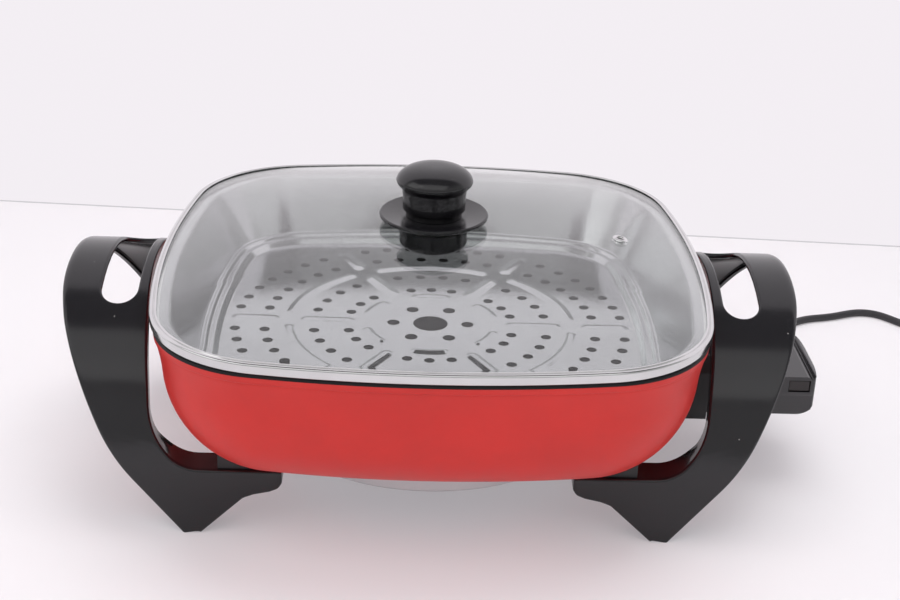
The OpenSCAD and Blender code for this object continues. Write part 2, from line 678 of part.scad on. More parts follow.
module knob_gaskets() color("whitesmoke") for (z = [glass_top, boss_top])
    translate([0, 0, z]) difference() {
        cylinder(d = boss_d - 6, h = gasket_t, $fn = 48);
        translate([0, 0, -1]) cylinder(d = knob_screw_d + 1, h = 5, $fn = 32);
    }

module knob_screw() color("silver") {
    seat = boss_top - 6;           // bottom of the boss's counterbore
    tip = knob_z + 16;
    translate([0, 0, tip]) mirror([0, 0, 1])
        pan_screw(knob_screw_d, 2 * knob_screw_d - 1, 3, tip - seat);
}

module vent_eyelet() color("silver") at_vent() rotate_extrude($fn = 40) {
    r = vent_d / 2;
    polygon([[r - 2.6, 0.9], [r - 1.6, 1.3], [r - 0.4, 0.9], [r, 0.35], [r - 0.2, 0.25],
             [r - 1.55, 0.25], [r - 1.55, -glass_t - 0.25], [r, -glass_t - 0.25],
             [r, -glass_t - 0.8], [r - 2.4, -glass_t - 0.9], [r - 2.6, -glass_t]]);
}

// ---------------------------------------------------------- steamer tray
tray_top = rim_z;
tray_floor = tray_top - tray_depth;          // upper face of the floor
flange_in = tray_in;                         // insets from the lid's outline
floor_in = tray_floor_in;
// Upper face from the flange's edge to the floor: inset and height
tray_profile = [
    [flange_in, tray_top], [flange_in + 7.3, tray_top], [flange_in + 8.5, tray_top - 1.2],
    [floor_in - 11, tray_floor + 4.6], [floor_in - 9.6, tray_floor + 3.4],
    [floor_in - 8.4, tray_floor + 4.2], [floor_in - 7, tray_floor + 4.2],
    [floor_in - 5.8, tray_floor + 3], [floor_in - 3.4, tray_floor + 3],
    [floor_in, tray_floor], [floor_in + 8, tray_floor]];

// An open line of points, moved to its left by d
function beside(pts, d) = [for (i = [0:len(pts) - 1])
    let (n = len(pts), u = unit(pts[max(i, 1)] - pts[max(i, 1) - 1]),
         v = unit(pts[min(i + 1, n - 1)] - pts[min(i, n - 2)]),
         nu = [-u.y, u.x], nv = [-v.y, v.x])
    pts[i] + d * (nu + nv) / (1 + nu * nv)];
module tray_shell() {
    under = beside(tray_profile, -tray_t);
    loft(concat(
        [for (i = [len(under) - 1:-1:0]) lid_ring(under[i][0], under[i][1])],
        [for (p = tray_profile) lid_ring(p[0], p[1])]));
}

// Steam holes: [radius, holes in each sixth, step in degrees]
steam_rows = [[50.5, 3, 14.8], [71, 4, 12], [100.3, 6, 8.5], [117.8, 7, 7.5]];
module steam_holes() for (q = [0:5], row = steam_rows, i = [0:row[1] - 1])
    rotate([0, 0, 60 * q + 30 + row[2] * (i - (row[1] - 1) / 2)])
        translate([row[0], 0, tray_floor - 5]) cylinder(d = steam_hole_d, h = 10, $fn = 24);

// Pressed ribs: a low ridge with sloping sides, w wide and h high
module ridge(w, h) polygon([[-w / 2, 0], [w / 2, 0], [w / 2 - h, h], [-w / 2 + h, h]]);
spoke_gap = 1.5;
module tray_ribs(w, h) {
    for (q = [0:5]) rotate([0, 0, 60 * q]) {
        for (rr = [[inner_ring_r, 17], [outer_ring_r, 25]])
            rotate([0, 0, 30 - rr[1]]) rotate_extrude(angle = 2 * rr[1], $fn = 96)
                translate([rr[0], 0]) ridge(w * 0.75, h);
        for (span = [[inner_ring_r + rib_w / 2 + spoke_gap, outer_ring_r - rib_w / 2 - spoke_gap],
                     [outer_ring_r + rib_w / 2 + spoke_gap, half_w - floor_in - rib_w / 3]])
            translate([span[0], 0, 0]) rotate([90, 0, 90]) linear_extrude(span[1] - span[0]) ridge(w, h);
    }
}

module steamer_tray() color("gainsboro") difference() {
    union() {
        tray_shell();
        translate([0, 0, tray_floor - eps]) rotate([0, 0, pattern_turn]) tray_ribs(rib_w, rib_h);
    }
    rotate([0, 0, pattern_turn]) {
        translate([0, 0, tray_floor - tray_t - eps]) tray_ribs(rib_w - 2 * tray_t, rib_h);
        steam_holes();
        for (q = [0:5]) rotate([0, 0, 60 * q]) translate([hub_hole_r, 0, tray_floor - 5])
            cylinder(d = hub_hole_d, h = 10, $fn = 24);
    }
    translate([0, 0, tray_floor - 5]) cylinder(d = centre_hole_d, h = 10, $fn = 48);
}

// ------------------------------------------------------- control housing
nose_x = socket_x + shroud_t + 1;
control_low = sensor_z - control_h / 2;
control_top = sensor_z + control_h / 2;
split_z = sensor_z;
dial_x = control_x + 36;
relief_x = control_end - 20;
relief_z = split_z;
end_arc = 150;                     // radius of the housing's end, in plan

// The housing as a solid, every face moved in by d
module control_form(d) {
    intersection() {
        // plan: straight sides, a slightly bowed end with round corners
        translate([0, 0, control_low + d]) linear_extrude(control_h - 2 * d) intersection() {
            union() {
                translate([control_x + d, -control_w / 2 + d])
                    square([control_l - 4 - 2 * d, control_w - 2 * d]);
                translate([control_x + d, -control_w / 2 + 5])
                    square([control_l - 2 * d, control_w - 10]);
                for (s = [-1, 1]) translate([control_end - 6.5, s * (control_w / 2 - 5)])
                    circle(r = 5 - d, $fn = 32);
            }
            translate([control_end - end_arc, 0]) circle(r = end_arc - d, $fn = 180);
        }
        // side: the lower edge of the end is well rounded, the upper a little
        rotate([90, 0, 0]) linear_extrude(control_w, center = true) {
            r = 13;
            translate([control_x - 1, control_low]) square([control_l - r + 1, control_h]);
            translate([control_x - 1, control_low + r]) square([control_l + 1, control_h - r - 2]);
            translate([control_end - r, control_low + r]) circle(r = r - d, $fn = 64);
            translate([control_end - 2, control_top - 2]) circle(r = 2, $fn = 24);
        }
    }
    // the nose that enters the shroud
    translate([nose_x + d, -control_w / 2 + 2 + d, control_low + 3 + d])
        cube([control_x - nose_x + (d > 0 ? 3 : 1), control_w - 4 - 2 * d, control_h - 6 - 2 * d]);
}

// Where the housing's screws stand
control_posts = [[control_x + 6, -control_w / 2 + 7], [control_x + 6, control_w / 2 - 7],
                 [control_end - 12, 0]];
module posts(d, h) for (p = control_posts) translate([p.x, p.y, control_low + 0.5])
    cylinder(d = d, h = h, $fn = 24);

module lamp_window(d) translate([control_end - 19 + d, -control_w / 2 - 1, control_top - 10 + d])
    cube([13 - 2 * d, 1 + control_wall + 1, 7.6 - 2 * d]);

module control_shell() difference() {
    union() {
        difference() { control_form(0); control_form(control_wall); }
        intersection() { control_form(0.5); posts(7, control_h); }
    }
    for (s = [-1, 1]) along_x(nose_x - 1, s * pin_pitch, sensor_z)
        cylinder(d = pin_d + 2 * loose, h = 5, $fn = 32);
    along_x(nose_x - 1, 0, sensor_z) cylinder(d = sensor_d, h = 5, $fn = 32);
    translate([dial_x, 0, sensor_z]) cylinder(d = shaft_d + 2 * fit, h = 40, $fn = 32);
    lamp_window(0);
    translate([relief_x, control_w / 2 - 4, relief_z]) rotate([-90, 0, 0])
        cylinder(d = lead_d + 3, h = 10, $fn = 32);
    posts(3, control_h - 5);
    translate([0, 0, -1]) posts(5.6, 2.6);
}
module control_base() color("#222222") intersection() {
    control_shell();
    translate([nose_x - 1, -control_w, control_low - 1])
        cube([2 * control_l, 2 * control_w, split_z - control_low + 1]);
}
module control_cover() color("#2a2a2a") intersection() {
    control_shell();
    translate([nose_x - 1, -control_w, split_z]) cube([2 * control_l, 2 * control_w, control_h]);
}
module control_screws() color("silver") for (p = control_posts)
    translate([p.x, p.y, control_low + control_h - 6]) mirror([0, 0, 1])
        pan_screw(3, 5.4, 1.4, control_h - 8.1);

block_l = 14;
block_x = nose_x + control_wall;
module contact_block() color("saddlebrown") difference() {
    translate([block_x, -pin_pitch - 6, sensor_z - 6.5]) cube([block_l, 2 * pin_pitch + 12, 13]);
    for (s = [-1, 1]) along_x(block_x - 1, s * pin_pitch, sensor_z)
        cylinder(d = pin_d + 2, h = block_l + 2, $fn = 32);
    along_x(block_x - 1, 0, sensor_z) cylinder(d = sensor_d, h = block_l + 2, $fn = 32);
}
module contact_sleeves() color("gold") for (s = [-1, 1])
    along_x(block_x, s * pin_pitch, sensor_z) difference() {
        cylinder(d = pin_d + 2, h = block_l + 4, $fn = 32);
        translate([0, 0, -1]) cylinder(d = pin_d + 2 * fit, h = block_l + 8, $fn = 32);
    }
module sensor_rod() color("silver") {
    tip = wall_x(sensor_z) + 3;
    along_x(tip + 1, 0, sensor_z) cylinder(d = sensor_d, h = block_x + block_l + 6 - tip - 1, $fn = 32);
    along_x(tip, 0, sensor_z) cylinder(d1 = sensor_d - 2, d2 = sensor_d, h = 1 + eps, $fn = 32);
}

// A stamped frame carries the sensor's end and the two switch blades.
frame_x = block_x + block_l + 6;
frame_l = dial_x - frame_x + 8;
module thermostat_frame() color("silver") {
    translate([frame_x, -7, sensor_z - 7.5]) cube([1.2, 14, 13]);
    translate([frame_x, -7, sensor_z - 8.5]) cube([frame_l, 14, 1.2]);
}
module switch_blades() color("peru") {
    for (k = [0, 1]) translate([frame_x + 1.2, -3, sensor_z - 4 + 4 * k])
        cube([frame_l - 4 - 3 * k, 6, 0.5]);
    for (k = [0, 1]) translate([frame_x + frame_l - 9, 0, sensor_z - 3.5 + 2.3 * k])
        cylinder(d = 4, h = 1.2, $fn = 24);
    translate([frame_x + 1.2, -4, sensor_z - 3.5]) cube([6, 8, 3.5]);
}
module neon_lamp() color("orange") along_x(control_end - 17, -control_w / 2 + 6.5, control_top - 6.2)
    cylinder(d = 4, h = 10, $fn = 24);
module lamp_lens() color("dimgray") intersection() {
    lamp_window(0.05);
    translate([0, -control_w / 2 + 0.6, 0]) cube([2 * control_end, control_wall - 0.2, 2 * control_top]);
}

module strain_relief() color("#222222") translate([relief_x, control_w / 2 - 3, relief_z])
    rotate([-90, 0, 0]) difference() {
        union() {
            cylinder(d = lead_d + 2.9, h = 3.5, $fn = 32);
            translate([0, 0, 3]) cylinder(d1 = lead_d + 5, d2 = lead_d + 2, h = relief_l, $fn = 32);
            translate([0, 0, 0]) cylinder(d = lead_d + 6, h = 0.8, $fn = 32);
        }
        // moulding grooves that let it flex
        for (i = [1:4]) translate([0, 0, 4 + i * relief_l / 6]) difference() {
            cylinder(d = lead_d + 8, h = 1.4, $fn = 32);
            translate([0, 0, -1]) cylinder(d = lead_d + 1.4, h = 4, $fn = 32);
        }
        translate([0, 0, relief_l - 9]) cylinder(d = lead_d, h = 20, $fn = 32);
    }

// ------------------------------------------------------------------ dial
dial_z = control_top + 0.5;
flute_n = 20;
module temperature_dial() color("#222222") difference() {
    union() {
        translate([dial_x, 0, dial_z]) cylinder(d = dial_d, h = 2.4, $fn = 72);
        translate([dial_x, 0, dial_z]) cylinder(d1 = dial_d - 3, d2 = dial_d - 6, h = dial_h, $fn = 72);
        translate([dial_x - dial_d / 2 + 3, -2.2, dial_z + dial_h - 2]) cube([dial_d - 6, 4.4, 3]);
    }
    for (i = [0:flute_n - 1]) translate([dial_x, 0, dial_z + 2.4]) rotate([0, 0, 360 / flute_n * (i + 0.5)])
        translate([dial_d / 2 - 1.6, 0, 0]) cylinder(d = 2.4, h = dial_h + 2, $fn = 16);
    translate([dial_x, 0, dial_z - 1]) cylinder(d = shaft_d, h = dial_h - 2, $fn = 32);
}
module dial_shaft() color("silver") {
    translate([dial_x, 0, sensor_z + 4]) cylinder(d = shaft_d, h = dial_z + dial_h - 3 - sensor_z - 4, $fn = 32);
    translate([dial_x, 0, sensor_z + 4]) cylinder(d = shaft_d + 6, h = 2, $fn = 32);
    translate([dial_x, 0, sensor_z + 2]) cylinder(d = 3, h = 2 + eps, $fn = 24);
}

// ------------------------------------------------------------------ lead
// Route of the lead from the strain relief to the coil, from the pan's
// centre, in round numbers. It leaves backwards, drops to the table behind
// the handle and runs off to the right.
lead_r = lead_d / 2;
exit_at = [relief_x, control_w / 2 + relief_l, relief_z];
coil_at = [418, 155];
lead_route = [
    exit_at + [0, 8, -0.3], exit_at + [0, 16, -2], exit_at + [1, 26, -6],
    [217, 96, 46], [219, 108, 36.5], [223, 120.5, 26], [229, 134, 16],
    [237, 148, 8.5], [246, 162, 4], [256, 176, lead_r], [266, 189, lead_r],
    [277, 200.5, lead_r], [289, 207.5, lead_r], [301, 210, lead_r], [312, 213.5, lead_r],
    [322, 218.5, lead_r], [332.5, 222, lead_r], [343, 220.5, lead_r], [351.5, 214, lead_r],
    [358, 205.5, lead_r], [366, 198.5, lead_r], [377, 195, lead_r], [390, 194, lead_r],
    [404, 194, lead_r + 1]];
// Its end, from the coil up into the plug, which lies beside the coil
plug_at = [478, 178, 14];
tail_route = [[441, 189.5, 3 * lead_r], [450, 187.5, 9], [459, 183.5, 10.8],
    [468, 179.4, 13.2], plug_at - [4, 0, 0], plug_at];

module cord() color("#1c1c1c") {
    tube(concat([exit_at - [0, 6, 0], exit_at], lead_route), lead_r, 12);
    tube(tail_route, lead_r, 12);
}
module cord_coil() color("#1c1c1c") translate([coil_at.x, coil_at.y, 0])
    rotate_extrude($fn = 64) translate([coil_r - lead_d, 0]) square([2 * lead_d, 2 * lead_d]);

module plug_body() color("#1c1c1c") translate(plug_at) {
    rotate([0, 90, 0]) cylinder(d1 = lead_d + 3, d2 = lead_d + 6, h = 16, $fn = 32);
    translate([14, -15, -plug_at.z]) cube([22, 30, 24]);
}
module plug_pins() color("silver") for (s = [-1, 1])
    along_x(plug_at.x + 36, plug_at.y + s * 9.5, 12) cylinder(d = 4.8, h = 19, $fn = 24);

// -------------------------------------------------------------- assembly
module build(name) on_stand() {
    if (name == "pan_body") pan_body();
    if (name == "heater_casting") heater_casting();
    if (name == "heating_element") heating_element();
    if (name == "terminal_pins") terminal_pins();
    if (name == "terminal_bushes") terminal_bushes();
    if (name == "terminal_shroud") terminal_shroud();
    if (name == "shroud_screws") shroud_screws();
    if (name == "left_handle") left_handle();
    if (name == "right_handle") right_handle();
    if (name == "leg_brackets") leg_brackets();
    if (name == "leg_screws") leg_screws();
    if (name == "leg_washers") leg_washers();
    if (name == "lid_glass") lid_glass();
    if (name == "lid_rim") lid_rim();
    if (name == "lid_knob") lid_knob();
    if (name == "knob_skirt") knob_skirt();
    if (name == "knob_boss") knob_boss();
    if (name == "knob_gaskets") knob_gaskets();
    if (name == "knob_screw") knob_screw();
    if (name == "vent_eyelet") vent_eyelet();
    if (name == "steamer_tray") steamer_tray();
    if (name == "control_base") control_base();
    if (name == "control_cover") control_cover();
    if (name == "control_screws") control_screws();
    if (name == "contact_block") contact_block();
    if (name == "contact_sleeves") contact_sleeves();
    if (name == "sensor_rod") sensor_rod();
    if (name == "thermostat_frame") thermostat_frame();
    if (name == "switch_blades") switch_blades();
    if (name == "neon_lamp") neon_lamp();
    if (name == "lamp_lens") lamp_lens();
    if (name == "strain_relief") strain_relief();
    if (name == "temperature_dial") temperature_dial();
    if (name == "dial_shaft") dial_shaft();
    if (name == "cord") cord();
    if (name == "cord_coil") cord_coil();
    if (name == "plug_body") plug_body();
    if (name == "plug_pins") plug_pins();
}
for (name = NODES) build(name);
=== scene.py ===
"""Electric skillet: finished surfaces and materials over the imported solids.

Every length is in metres, in the row's frame: +X towards the plug-in
control, +Y to the back, the table at z = 0.
"""
import math

import bmesh
import bpy
import numpy as np
from mathutils import Matrix, Vector


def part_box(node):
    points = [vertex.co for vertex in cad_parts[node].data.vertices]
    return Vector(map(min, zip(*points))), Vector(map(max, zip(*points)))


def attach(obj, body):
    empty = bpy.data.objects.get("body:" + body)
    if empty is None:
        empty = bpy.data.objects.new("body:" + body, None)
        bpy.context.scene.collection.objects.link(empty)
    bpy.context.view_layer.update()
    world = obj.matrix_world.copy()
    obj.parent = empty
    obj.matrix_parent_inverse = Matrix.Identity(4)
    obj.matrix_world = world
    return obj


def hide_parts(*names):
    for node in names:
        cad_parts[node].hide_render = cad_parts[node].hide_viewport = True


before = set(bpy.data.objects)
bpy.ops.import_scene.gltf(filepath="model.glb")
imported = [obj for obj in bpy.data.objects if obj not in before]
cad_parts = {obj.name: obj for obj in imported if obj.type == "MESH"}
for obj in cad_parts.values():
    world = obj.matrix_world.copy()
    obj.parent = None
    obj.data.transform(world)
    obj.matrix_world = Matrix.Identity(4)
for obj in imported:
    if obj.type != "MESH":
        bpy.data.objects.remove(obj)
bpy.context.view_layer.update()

# ---- Where the pan stands ----
# The skillet is centred with its control plugged in, so the pan's own middle
# lies a little to the left of the row's origin.
PAN_X = (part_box("lid_rim")[0][0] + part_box("lid_rim")[1][0]) / 2


def from_pan(points):
    """Millimetres from the pan's middle, turned into metres in the row's frame."""
    return np.asarray(points, float) * 0.001 + np.array([PAN_X, 0.0, 0.0])


# ---- Camera ----
# A portrait lens on a tripod, a little above the lid and almost square on.
# The picture is 900 by 600.
camera_data = bpy.data.cameras.new("camera")
camera = bpy.data.objects.new("camera", camera_data)
bpy.context.scene.collection.objects.link(camera)
bpy.context.scene.camera = camera
camera_data.sensor_width = 36.0
camera_data.lens = 60.57
yaw, pitch, roll = (math.radians(a) for a in (1.56, 24.23, 2.10))
camera.matrix_world = (Matrix.Translation(from_pan([-11.31, -833.51, 479.55]))
                       @ Matrix.Rotation(-yaw, 4, "Z")
                       @ Matrix.Rotation(math.pi / 2 - pitch, 4, "X")
                       @ Matrix.Rotation(roll, 4, "Z"))
camera_data.clip_start = 0.05

# ---- Studio ----
# A white table with a white wall close behind it, a little turned, one large
# soft window of light in front, one smaller from the left, and a grey room.
scene = bpy.context.scene
scene.view_settings.view_transform = "Standard"


def placed(name, mesh, crease=40):
    """An object made of a mesh, with smooth faces, and with edges sharp that
    bend by more than the crease angle."""
    mesh.shade_smooth()
    mesh.set_sharp_from_angle(angle=math.radians(crease))
    piece = bpy.data.objects.new(name, mesh)
    scene.collection.objects.link(piece)
    return piece


def sheet(name, corners, material):
    """One flat four-cornered sheet of the studio."""
    mesh = bpy.data.meshes.new(name)
    mesh.from_pydata(corners, [], [(0, 1, 2, 3)])
    mesh.materials.append(material)
    piece = placed(name, mesh)


def node_maker(material):
    """A helper that adds a shader node to the material, which is cleared
    first, and sets its properties and its sockets, by name or, as _0, by
    number. A node given for a socket is linked by its first output in use."""
    material.use_nodes = True
    tree = material.node_tree
    tree.nodes.clear()

    def add(kind, **sockets):
        node = tree.nodes.new("ShaderNode" + kind)
        for key, value in sockets.items():
            if key in node.bl_rna.properties and key not in node.inputs:
                setattr(node, key, value)
                continue
            socket = node.inputs[int(key[1:]) if key[0] == "_" else key.replace("_", " ")]
            if isinstance(value, bpy.types.Node):
                value = next(output for output in value.outputs if output.enabled)
            if isinstance(value, bpy.types.NodeSocket):
                tree.links.new(value, socket)
            else:
                socket.default_value = value
        return node

    return add


def paper(name, seen, body, mirrored=1.0):
    """White paper: a plain matte sheet to the light, and a set colour to the
    eye and in reflections, mixed by how the ray arrives and the share that is
    the colour's fourth value. Reflections may see the sheet dimmer than it
    is, and from behind the eye looks through it."""
    material = bpy.data.materials.new(name)
    add = node_maker(material)
    path = add("LightPath")
    eye = path.outputs["Is Camera Ray"]
    for ray in ("Is Glossy Ray", "Is Transmission Ray"):
        eye = add("Math", operation="MAXIMUM", _0=eye, _1=path.outputs[ray])
    share = add("Math", operation="MULTIPLY", _0=eye, _1=seen[3])
    dim = add("MapRange", _0=path.outputs["Is Glossy Ray"], _3=1.0, _4=mirrored)
    glow = add("Emission", Color=(*seen[:3], 1.0), Strength=dim)
    matte = add("Mix", data_type="RGBA", blend_type="MULTIPLY", _0=1.0, _6=(*body, 1.0), _7=dim)
    matte = add("BsdfDiffuse", Color=matte)
    both = add("MixShader", _0=share, _1=matte, _2=glow)
    behind = add("Math", operation="MULTIPLY", _0=path.outputs["Is Camera Ray"],
                 _1=add("NewGeometry").outputs["Backfacing"])
    both = add("MixShader", _0=behind, _1=both, _2=add("BsdfTransparent"))
    add("OutputMaterial", Surface=both)
    return material


SIDE, FRONT, BACK, TOP = 3.0, -1.2, 1.6, 1.5      # how far the paper reaches, in metres


def upright(name, low, high, gap, material):
    """A sheet on the turned wall between two heights, with a gap to it."""
    foot = [(x, 0.3937 - 0.0669 * x - gap) for x in (-SIDE, SIDE)]
    sheet(name, [(*foot[0], low), (*foot[1], low), (*foot[1], high), (*foot[0], high)], material)


sheet("table_top", [(-SIDE, FRONT, 0), (SIDE, FRONT, 0), (SIDE, BACK, 0), (-SIDE, BACK, 0)],
      paper("table_paper", (0.80, 0.765, 0.80, 0.35), (0.86, 0.84, 0.86), 0.85))
upright("wall", -0.001, TOP, 0, paper("wall_paper", (0.90, 0.86, 0.90, 1.0), (0.82, 0.80, 0.82)))
# A thin grey strip just in front of the wall's foot, where it meets the table: painted shade of
# that corner, seen by the eye and in reflections.
upright("painted_corner_line", 0, 0.0011, 0.001, paper("painted_corner_shade", (0.62, 0.60, 0.63, 1.0), (0.5, 0.5, 0.5)))

world = bpy.data.worlds.new("room")
scene.world = world
add = node_maker(world)
glossy = add("LightPath").outputs["Is Glossy Ray"]
way = add("SeparateXYZ", Vector=add("TexCoord").outputs["Generated"])
dim = add("MapRange", _0=way.outputs["Z"], _1=0.45, _2=0.85, _3=0.50, _4=0.13)
grey = add("Mix", data_type="RGBA", _0=glossy, _6=(0.44, 0.43, 0.44, 1.0), _7=dim)
add("OutputWorld", Surface=add("Background", Color=grey))


def soft_box(name, at, towards, width, height, power):
    """A rectangular lamp at one point, facing another."""
    lamp = bpy.data.lights.new(name, "AREA")
    lamp.shape = "RECTANGLE"
    lamp.size, lamp.size_y, lamp.energy = width, height, power
    holder = bpy.data.objects.new(name, lamp)
    scene.collection.objects.link(holder)
    holder.location = at
    holder.rotation_euler = (Vector(towards) - Vector(at)).to_track_quat("-Z", "Y").to_euler()
    return holder


# Mirrors and glass show the windows, and not the two fills.
PAN_MIDDLE = (0, 0, 0.1)
soft_box("front_window", (-0.1, -0.95, 1.45), PAN_MIDDLE, 2.1, 1.05, 5.2)
soft_box("left_window", (-1.5, -0.5, 1.3), PAN_MIDDLE, 1.2, 1.2, 3.6)
for fill in (soft_box("front_fill", (-0.2, -0.97, 1.47), PAN_MIDDLE, 2.1, 1.05, 6),
             soft_box("top_light", (0.1, 0.10, 1.5), (0, 0, 0), 1.1, 0.8, 13)):
    fill.visible_glossy = fill.visible_transmission = False

# ---- Lead ----
# A black two-core rubber lead. It leaves the back of the control, drops to
# the table behind the handle and runs off to the right in a lazy wave; what
# is left of it is wound in a round coil, with a moulded two-pin plug beside.
LEAD_D = 0.0055
LEAD_R = 2.75                      # in millimetres, for the route
PIN_Z = 60.5                       # height of the pins, the probe and the lead's exit
EXIT_X = 214.5
PLUG_Y, PLUG_Z = 178, 14
exit_mm = np.array([EXIT_X, 58, PIN_Z])
lead_mm = np.array([
    exit_mm, exit_mm + [0, 8, -0.3], exit_mm + [0, 16, -2], exit_mm + [1, 26, -6],
    [217, 96, 46], [219, 108, 36.5], [223, 120.5, 26], [229, 134, 16],
    [237, 148, 8.5], [246, 162, 4], [256, 176, LEAD_R], [266, 189, LEAD_R],
    [277, 200.5, LEAD_R], [289, 207.5, LEAD_R], [301, 210, LEAD_R], [312, 213.5, LEAD_R],
    [322, 218.5, LEAD_R], [332.5, 222, LEAD_R], [343, 220.5, LEAD_R], [351.5, 214, LEAD_R],
    [358, 205.5, LEAD_R], [366, 198.5, LEAD_R], [377, 195, LEAD_R], [390, 194, LEAD_R],
    [404, 194, LEAD_R + 0.4]])
tail_mm = np.array([[441, 189.5, 8.25], [450, 187.5, 9], [459, 183.5, 10.8], [468, 179.4, 13.2],
                    [474, PLUG_Y, PLUG_Z], [478, PLUG_Y, PLUG_Z], [482, PLUG_Y, PLUG_Z]])


def smoothstep(x):
    """0 below 0, 1 above 1, and an S-curve between."""
    x = np.clip(x, 0, 1)
    return x * x * (3 - 2 * x)


def coil_turns(centre, radius, pitch):
    """The turns of the coil, clockwise from its upper left: outside and low,
    inside and low, inside and high, outside and high. Each change takes a
    seventh of a turn, earlier than the one under it, so that turns never meet."""
    run, change, start = np.arange(38, 1102, 14.0), 52, 109.7    # in degrees
    inner = smoothstep((run - 310) / change) - smoothstep((run - 912) / change)
    high = smoothstep((run - 612) / change)
    r = radius + pitch * (0.5 - inner)
    a = np.radians(start - run)
    return np.stack([centre[0] + r * np.cos(a), centre[1] + r * np.sin(a),
                     pitch * (0.5 + high)], axis=1)


def smooth_path(points, step):
    """A cubic B-spline led by the points, cut into pieces about one step long."""
    p = np.vstack([2 * points[0] - points[1], points, 2 * points[-1] - points[-2]])
    out = []
    for a, b, c, d in zip(p[:-3], p[1:-2], p[2:-1], p[3:]):
        n = max(2, int(np.ceil(np.linalg.norm(c - b) / step)))
        t = np.linspace(0, 1, n, endpoint=False)[:, None]
        out.append(((1 - t) ** 3 * a + (3 * t ** 3 - 6 * t ** 2 + 4) * b
                    + (1 + 3 * t + 3 * t ** 2 - 3 * t ** 3) * c + t ** 3 * d) / 6)
    return np.vstack(out + [points[-1:]])


def skin(name, grid, material, round_rows=False, ends=False, crease=40, second=None):
    """A smooth mesh over a grid of points, rows by columns. Each face joins
    four neighbours, and each row closes on itself. The rows may close too, or
    the first and the last be capped. Seen with rows going up and columns to
    the right, it faces out. A second material may take over from a row on."""
    rows, columns = grid.shape[:2]
    i = np.arange(rows if round_rows else rows - 1)[:, None]
    j = np.arange(columns)[None, :]
    up, right = (i + 1) % rows, (j + 1) % columns
    faces = np.stack([i * columns + j, i * columns + right, up * columns + right,
                      up * columns + j], axis=-1).reshape(-1, 4).tolist()
    if ends:
        faces.append(list(range(columns - 1, -1, -1)))
        faces.append(list(range((rows - 1) * columns, rows * columns)))
    if second:
        second = (second[0] * columns, second[1])
    return finished(name, grid.reshape(-1, 3), faces, material, crease, second)


def welded(mesh, gap, flatten=False):
    """Joins points closer than the gap and, if wanted, the faces of a plane."""
    work = bmesh.new()
    work.from_mesh(mesh)
    bmesh.ops.remove_doubles(work, verts=work.verts, dist=gap)
    if flatten:
        bmesh.ops.dissolve_limit(work, angle_limit=math.radians(1.0), verts=work.verts,
                                 edges=work.edges)
    work.to_mesh(mesh)
    work.free()


def finished(name, points, faces, material, crease, second=None):
    """A mesh object from points and faces, welded and smooth. A second
    material may take over from a face on."""
    mesh = bpy.data.meshes.new(name)
    mesh.from_pydata(points, [], faces)
    mesh.materials.append(material)
    if second:
        mesh.materials.append(second[1])
        later = np.arange(len(faces)) >= second[0]
        mesh.polygons.foreach_set("material_index", later.astype(int))
    welded(mesh, 1e-6)
    return placed(name, mesh, crease)


def heading(line):
    """The unit tangent at each point of a line."""
    way = np.gradient(line, axis=0)
    return way / np.linalg.norm(way, axis=1)[:, None]


def tube_grid(path, radius, sides):
    """Rings of a tube: at each point of the path a circle square to its
    tangent. Each ring's frame is the last one with the new tangent's share
    taken out, so the tube doesn't twist."""
    tangent = heading(path)
    side = np.array([0.31, 0.17, 0.93])
    across = []
    for t in tangent:
        side = side - t * (side @ t)
        side = side / np.linalg.norm(side)
        across.append(side)
    across = np.array(across)
    other = np.cross(tangent, across)
    a = np.linspace(0, 2 * np.pi, sides, endpoint=False)[None, :, None]
    return path[:, None] + radius * (np.cos(a) * across[:, None] + np.sin(a) * other[:, None])


def turned(name, profile, at, material, columns, axes=None):
    """A piece turned on a lathe: the profile (radius, height) in millimetres,
    up its outside, revolved about an axis through a point measured from the
    pan's middle. The axis is up, unless three axes are given as rows, of
    which it is the last."""
    a = np.linspace(0, 2 * np.pi, columns, endpoint=False)
    r, h = np.asarray(profile, float).T
    local = np.stack([r[:, None] * np.cos(a), r[:, None] * np.sin(a),
                      np.repeat(h[:, None], columns, axis=1)], axis=-1)
    if axes is not None:
        local = local @ np.asarray(axes, float)
    return skin(name, from_pan(local + np.asarray(at, float)), material)


def mottled(name, dark, light, gloss, clouds, grain, span=(0.25, 0.75), dust=0.0, **surface):
    """A surface that a cloud makes uneven: its colour runs from dark to light
    over a span of the cloud, and its roughness between two values. It has a
    fine grain and, if wanted, specks of dust. Clouds are (scale, detail,
    roughness), the grain (scale, detail, strength, depth in metres)."""
    material = bpy.data.materials.new(name)
    add = node_maker(material)
    place = add("TexCoord").outputs["Object"]
    cloud = add("TexNoise", Vector=place, Scale=clouds[0], Detail=clouds[1], Roughness=clouds[2])
    rough = add("MapRange", _0=cloud, _1=0.3, _2=0.7, _3=gloss[0], _4=gloss[1])
    fine = add("TexNoise", Vector=place, Scale=grain[0], Detail=grain[1])
    bump = add("Bump", Strength=grain[2], Distance=grain[3], Height=fine)
    tone = add("MapRange", _0=cloud, _1=span[0], _2=span[1])
    base = add("Mix", data_type="RGBA", _0=tone, _6=(*dark, 1.0), _7=(*light, 1.0))
    if dust:
        speck = add("TexVoronoi", Vector=place, Scale=95.0)
        near = add("Math", operation="LESS_THAN", _0=speck.outputs["Distance"], _1=dust)
        where = add("TexNoise", Vector=place, Scale=17.0)
        some = add("Math", operation="GREATER_THAN", _0=where, _1=0.57)
        here = add("Math", operation="MULTIPLY", _0=near, _1=some)
        base = add("Mix", data_type="RGBA", _0=here, _6=base, _7=(0.42, 0.41, 0.40, 1.0))
    shader = add("BsdfPrincipled", Base_Color=base, Roughness=rough, Normal=bump, **surface)
    add("OutputMaterial", Surface=shader)
    return material


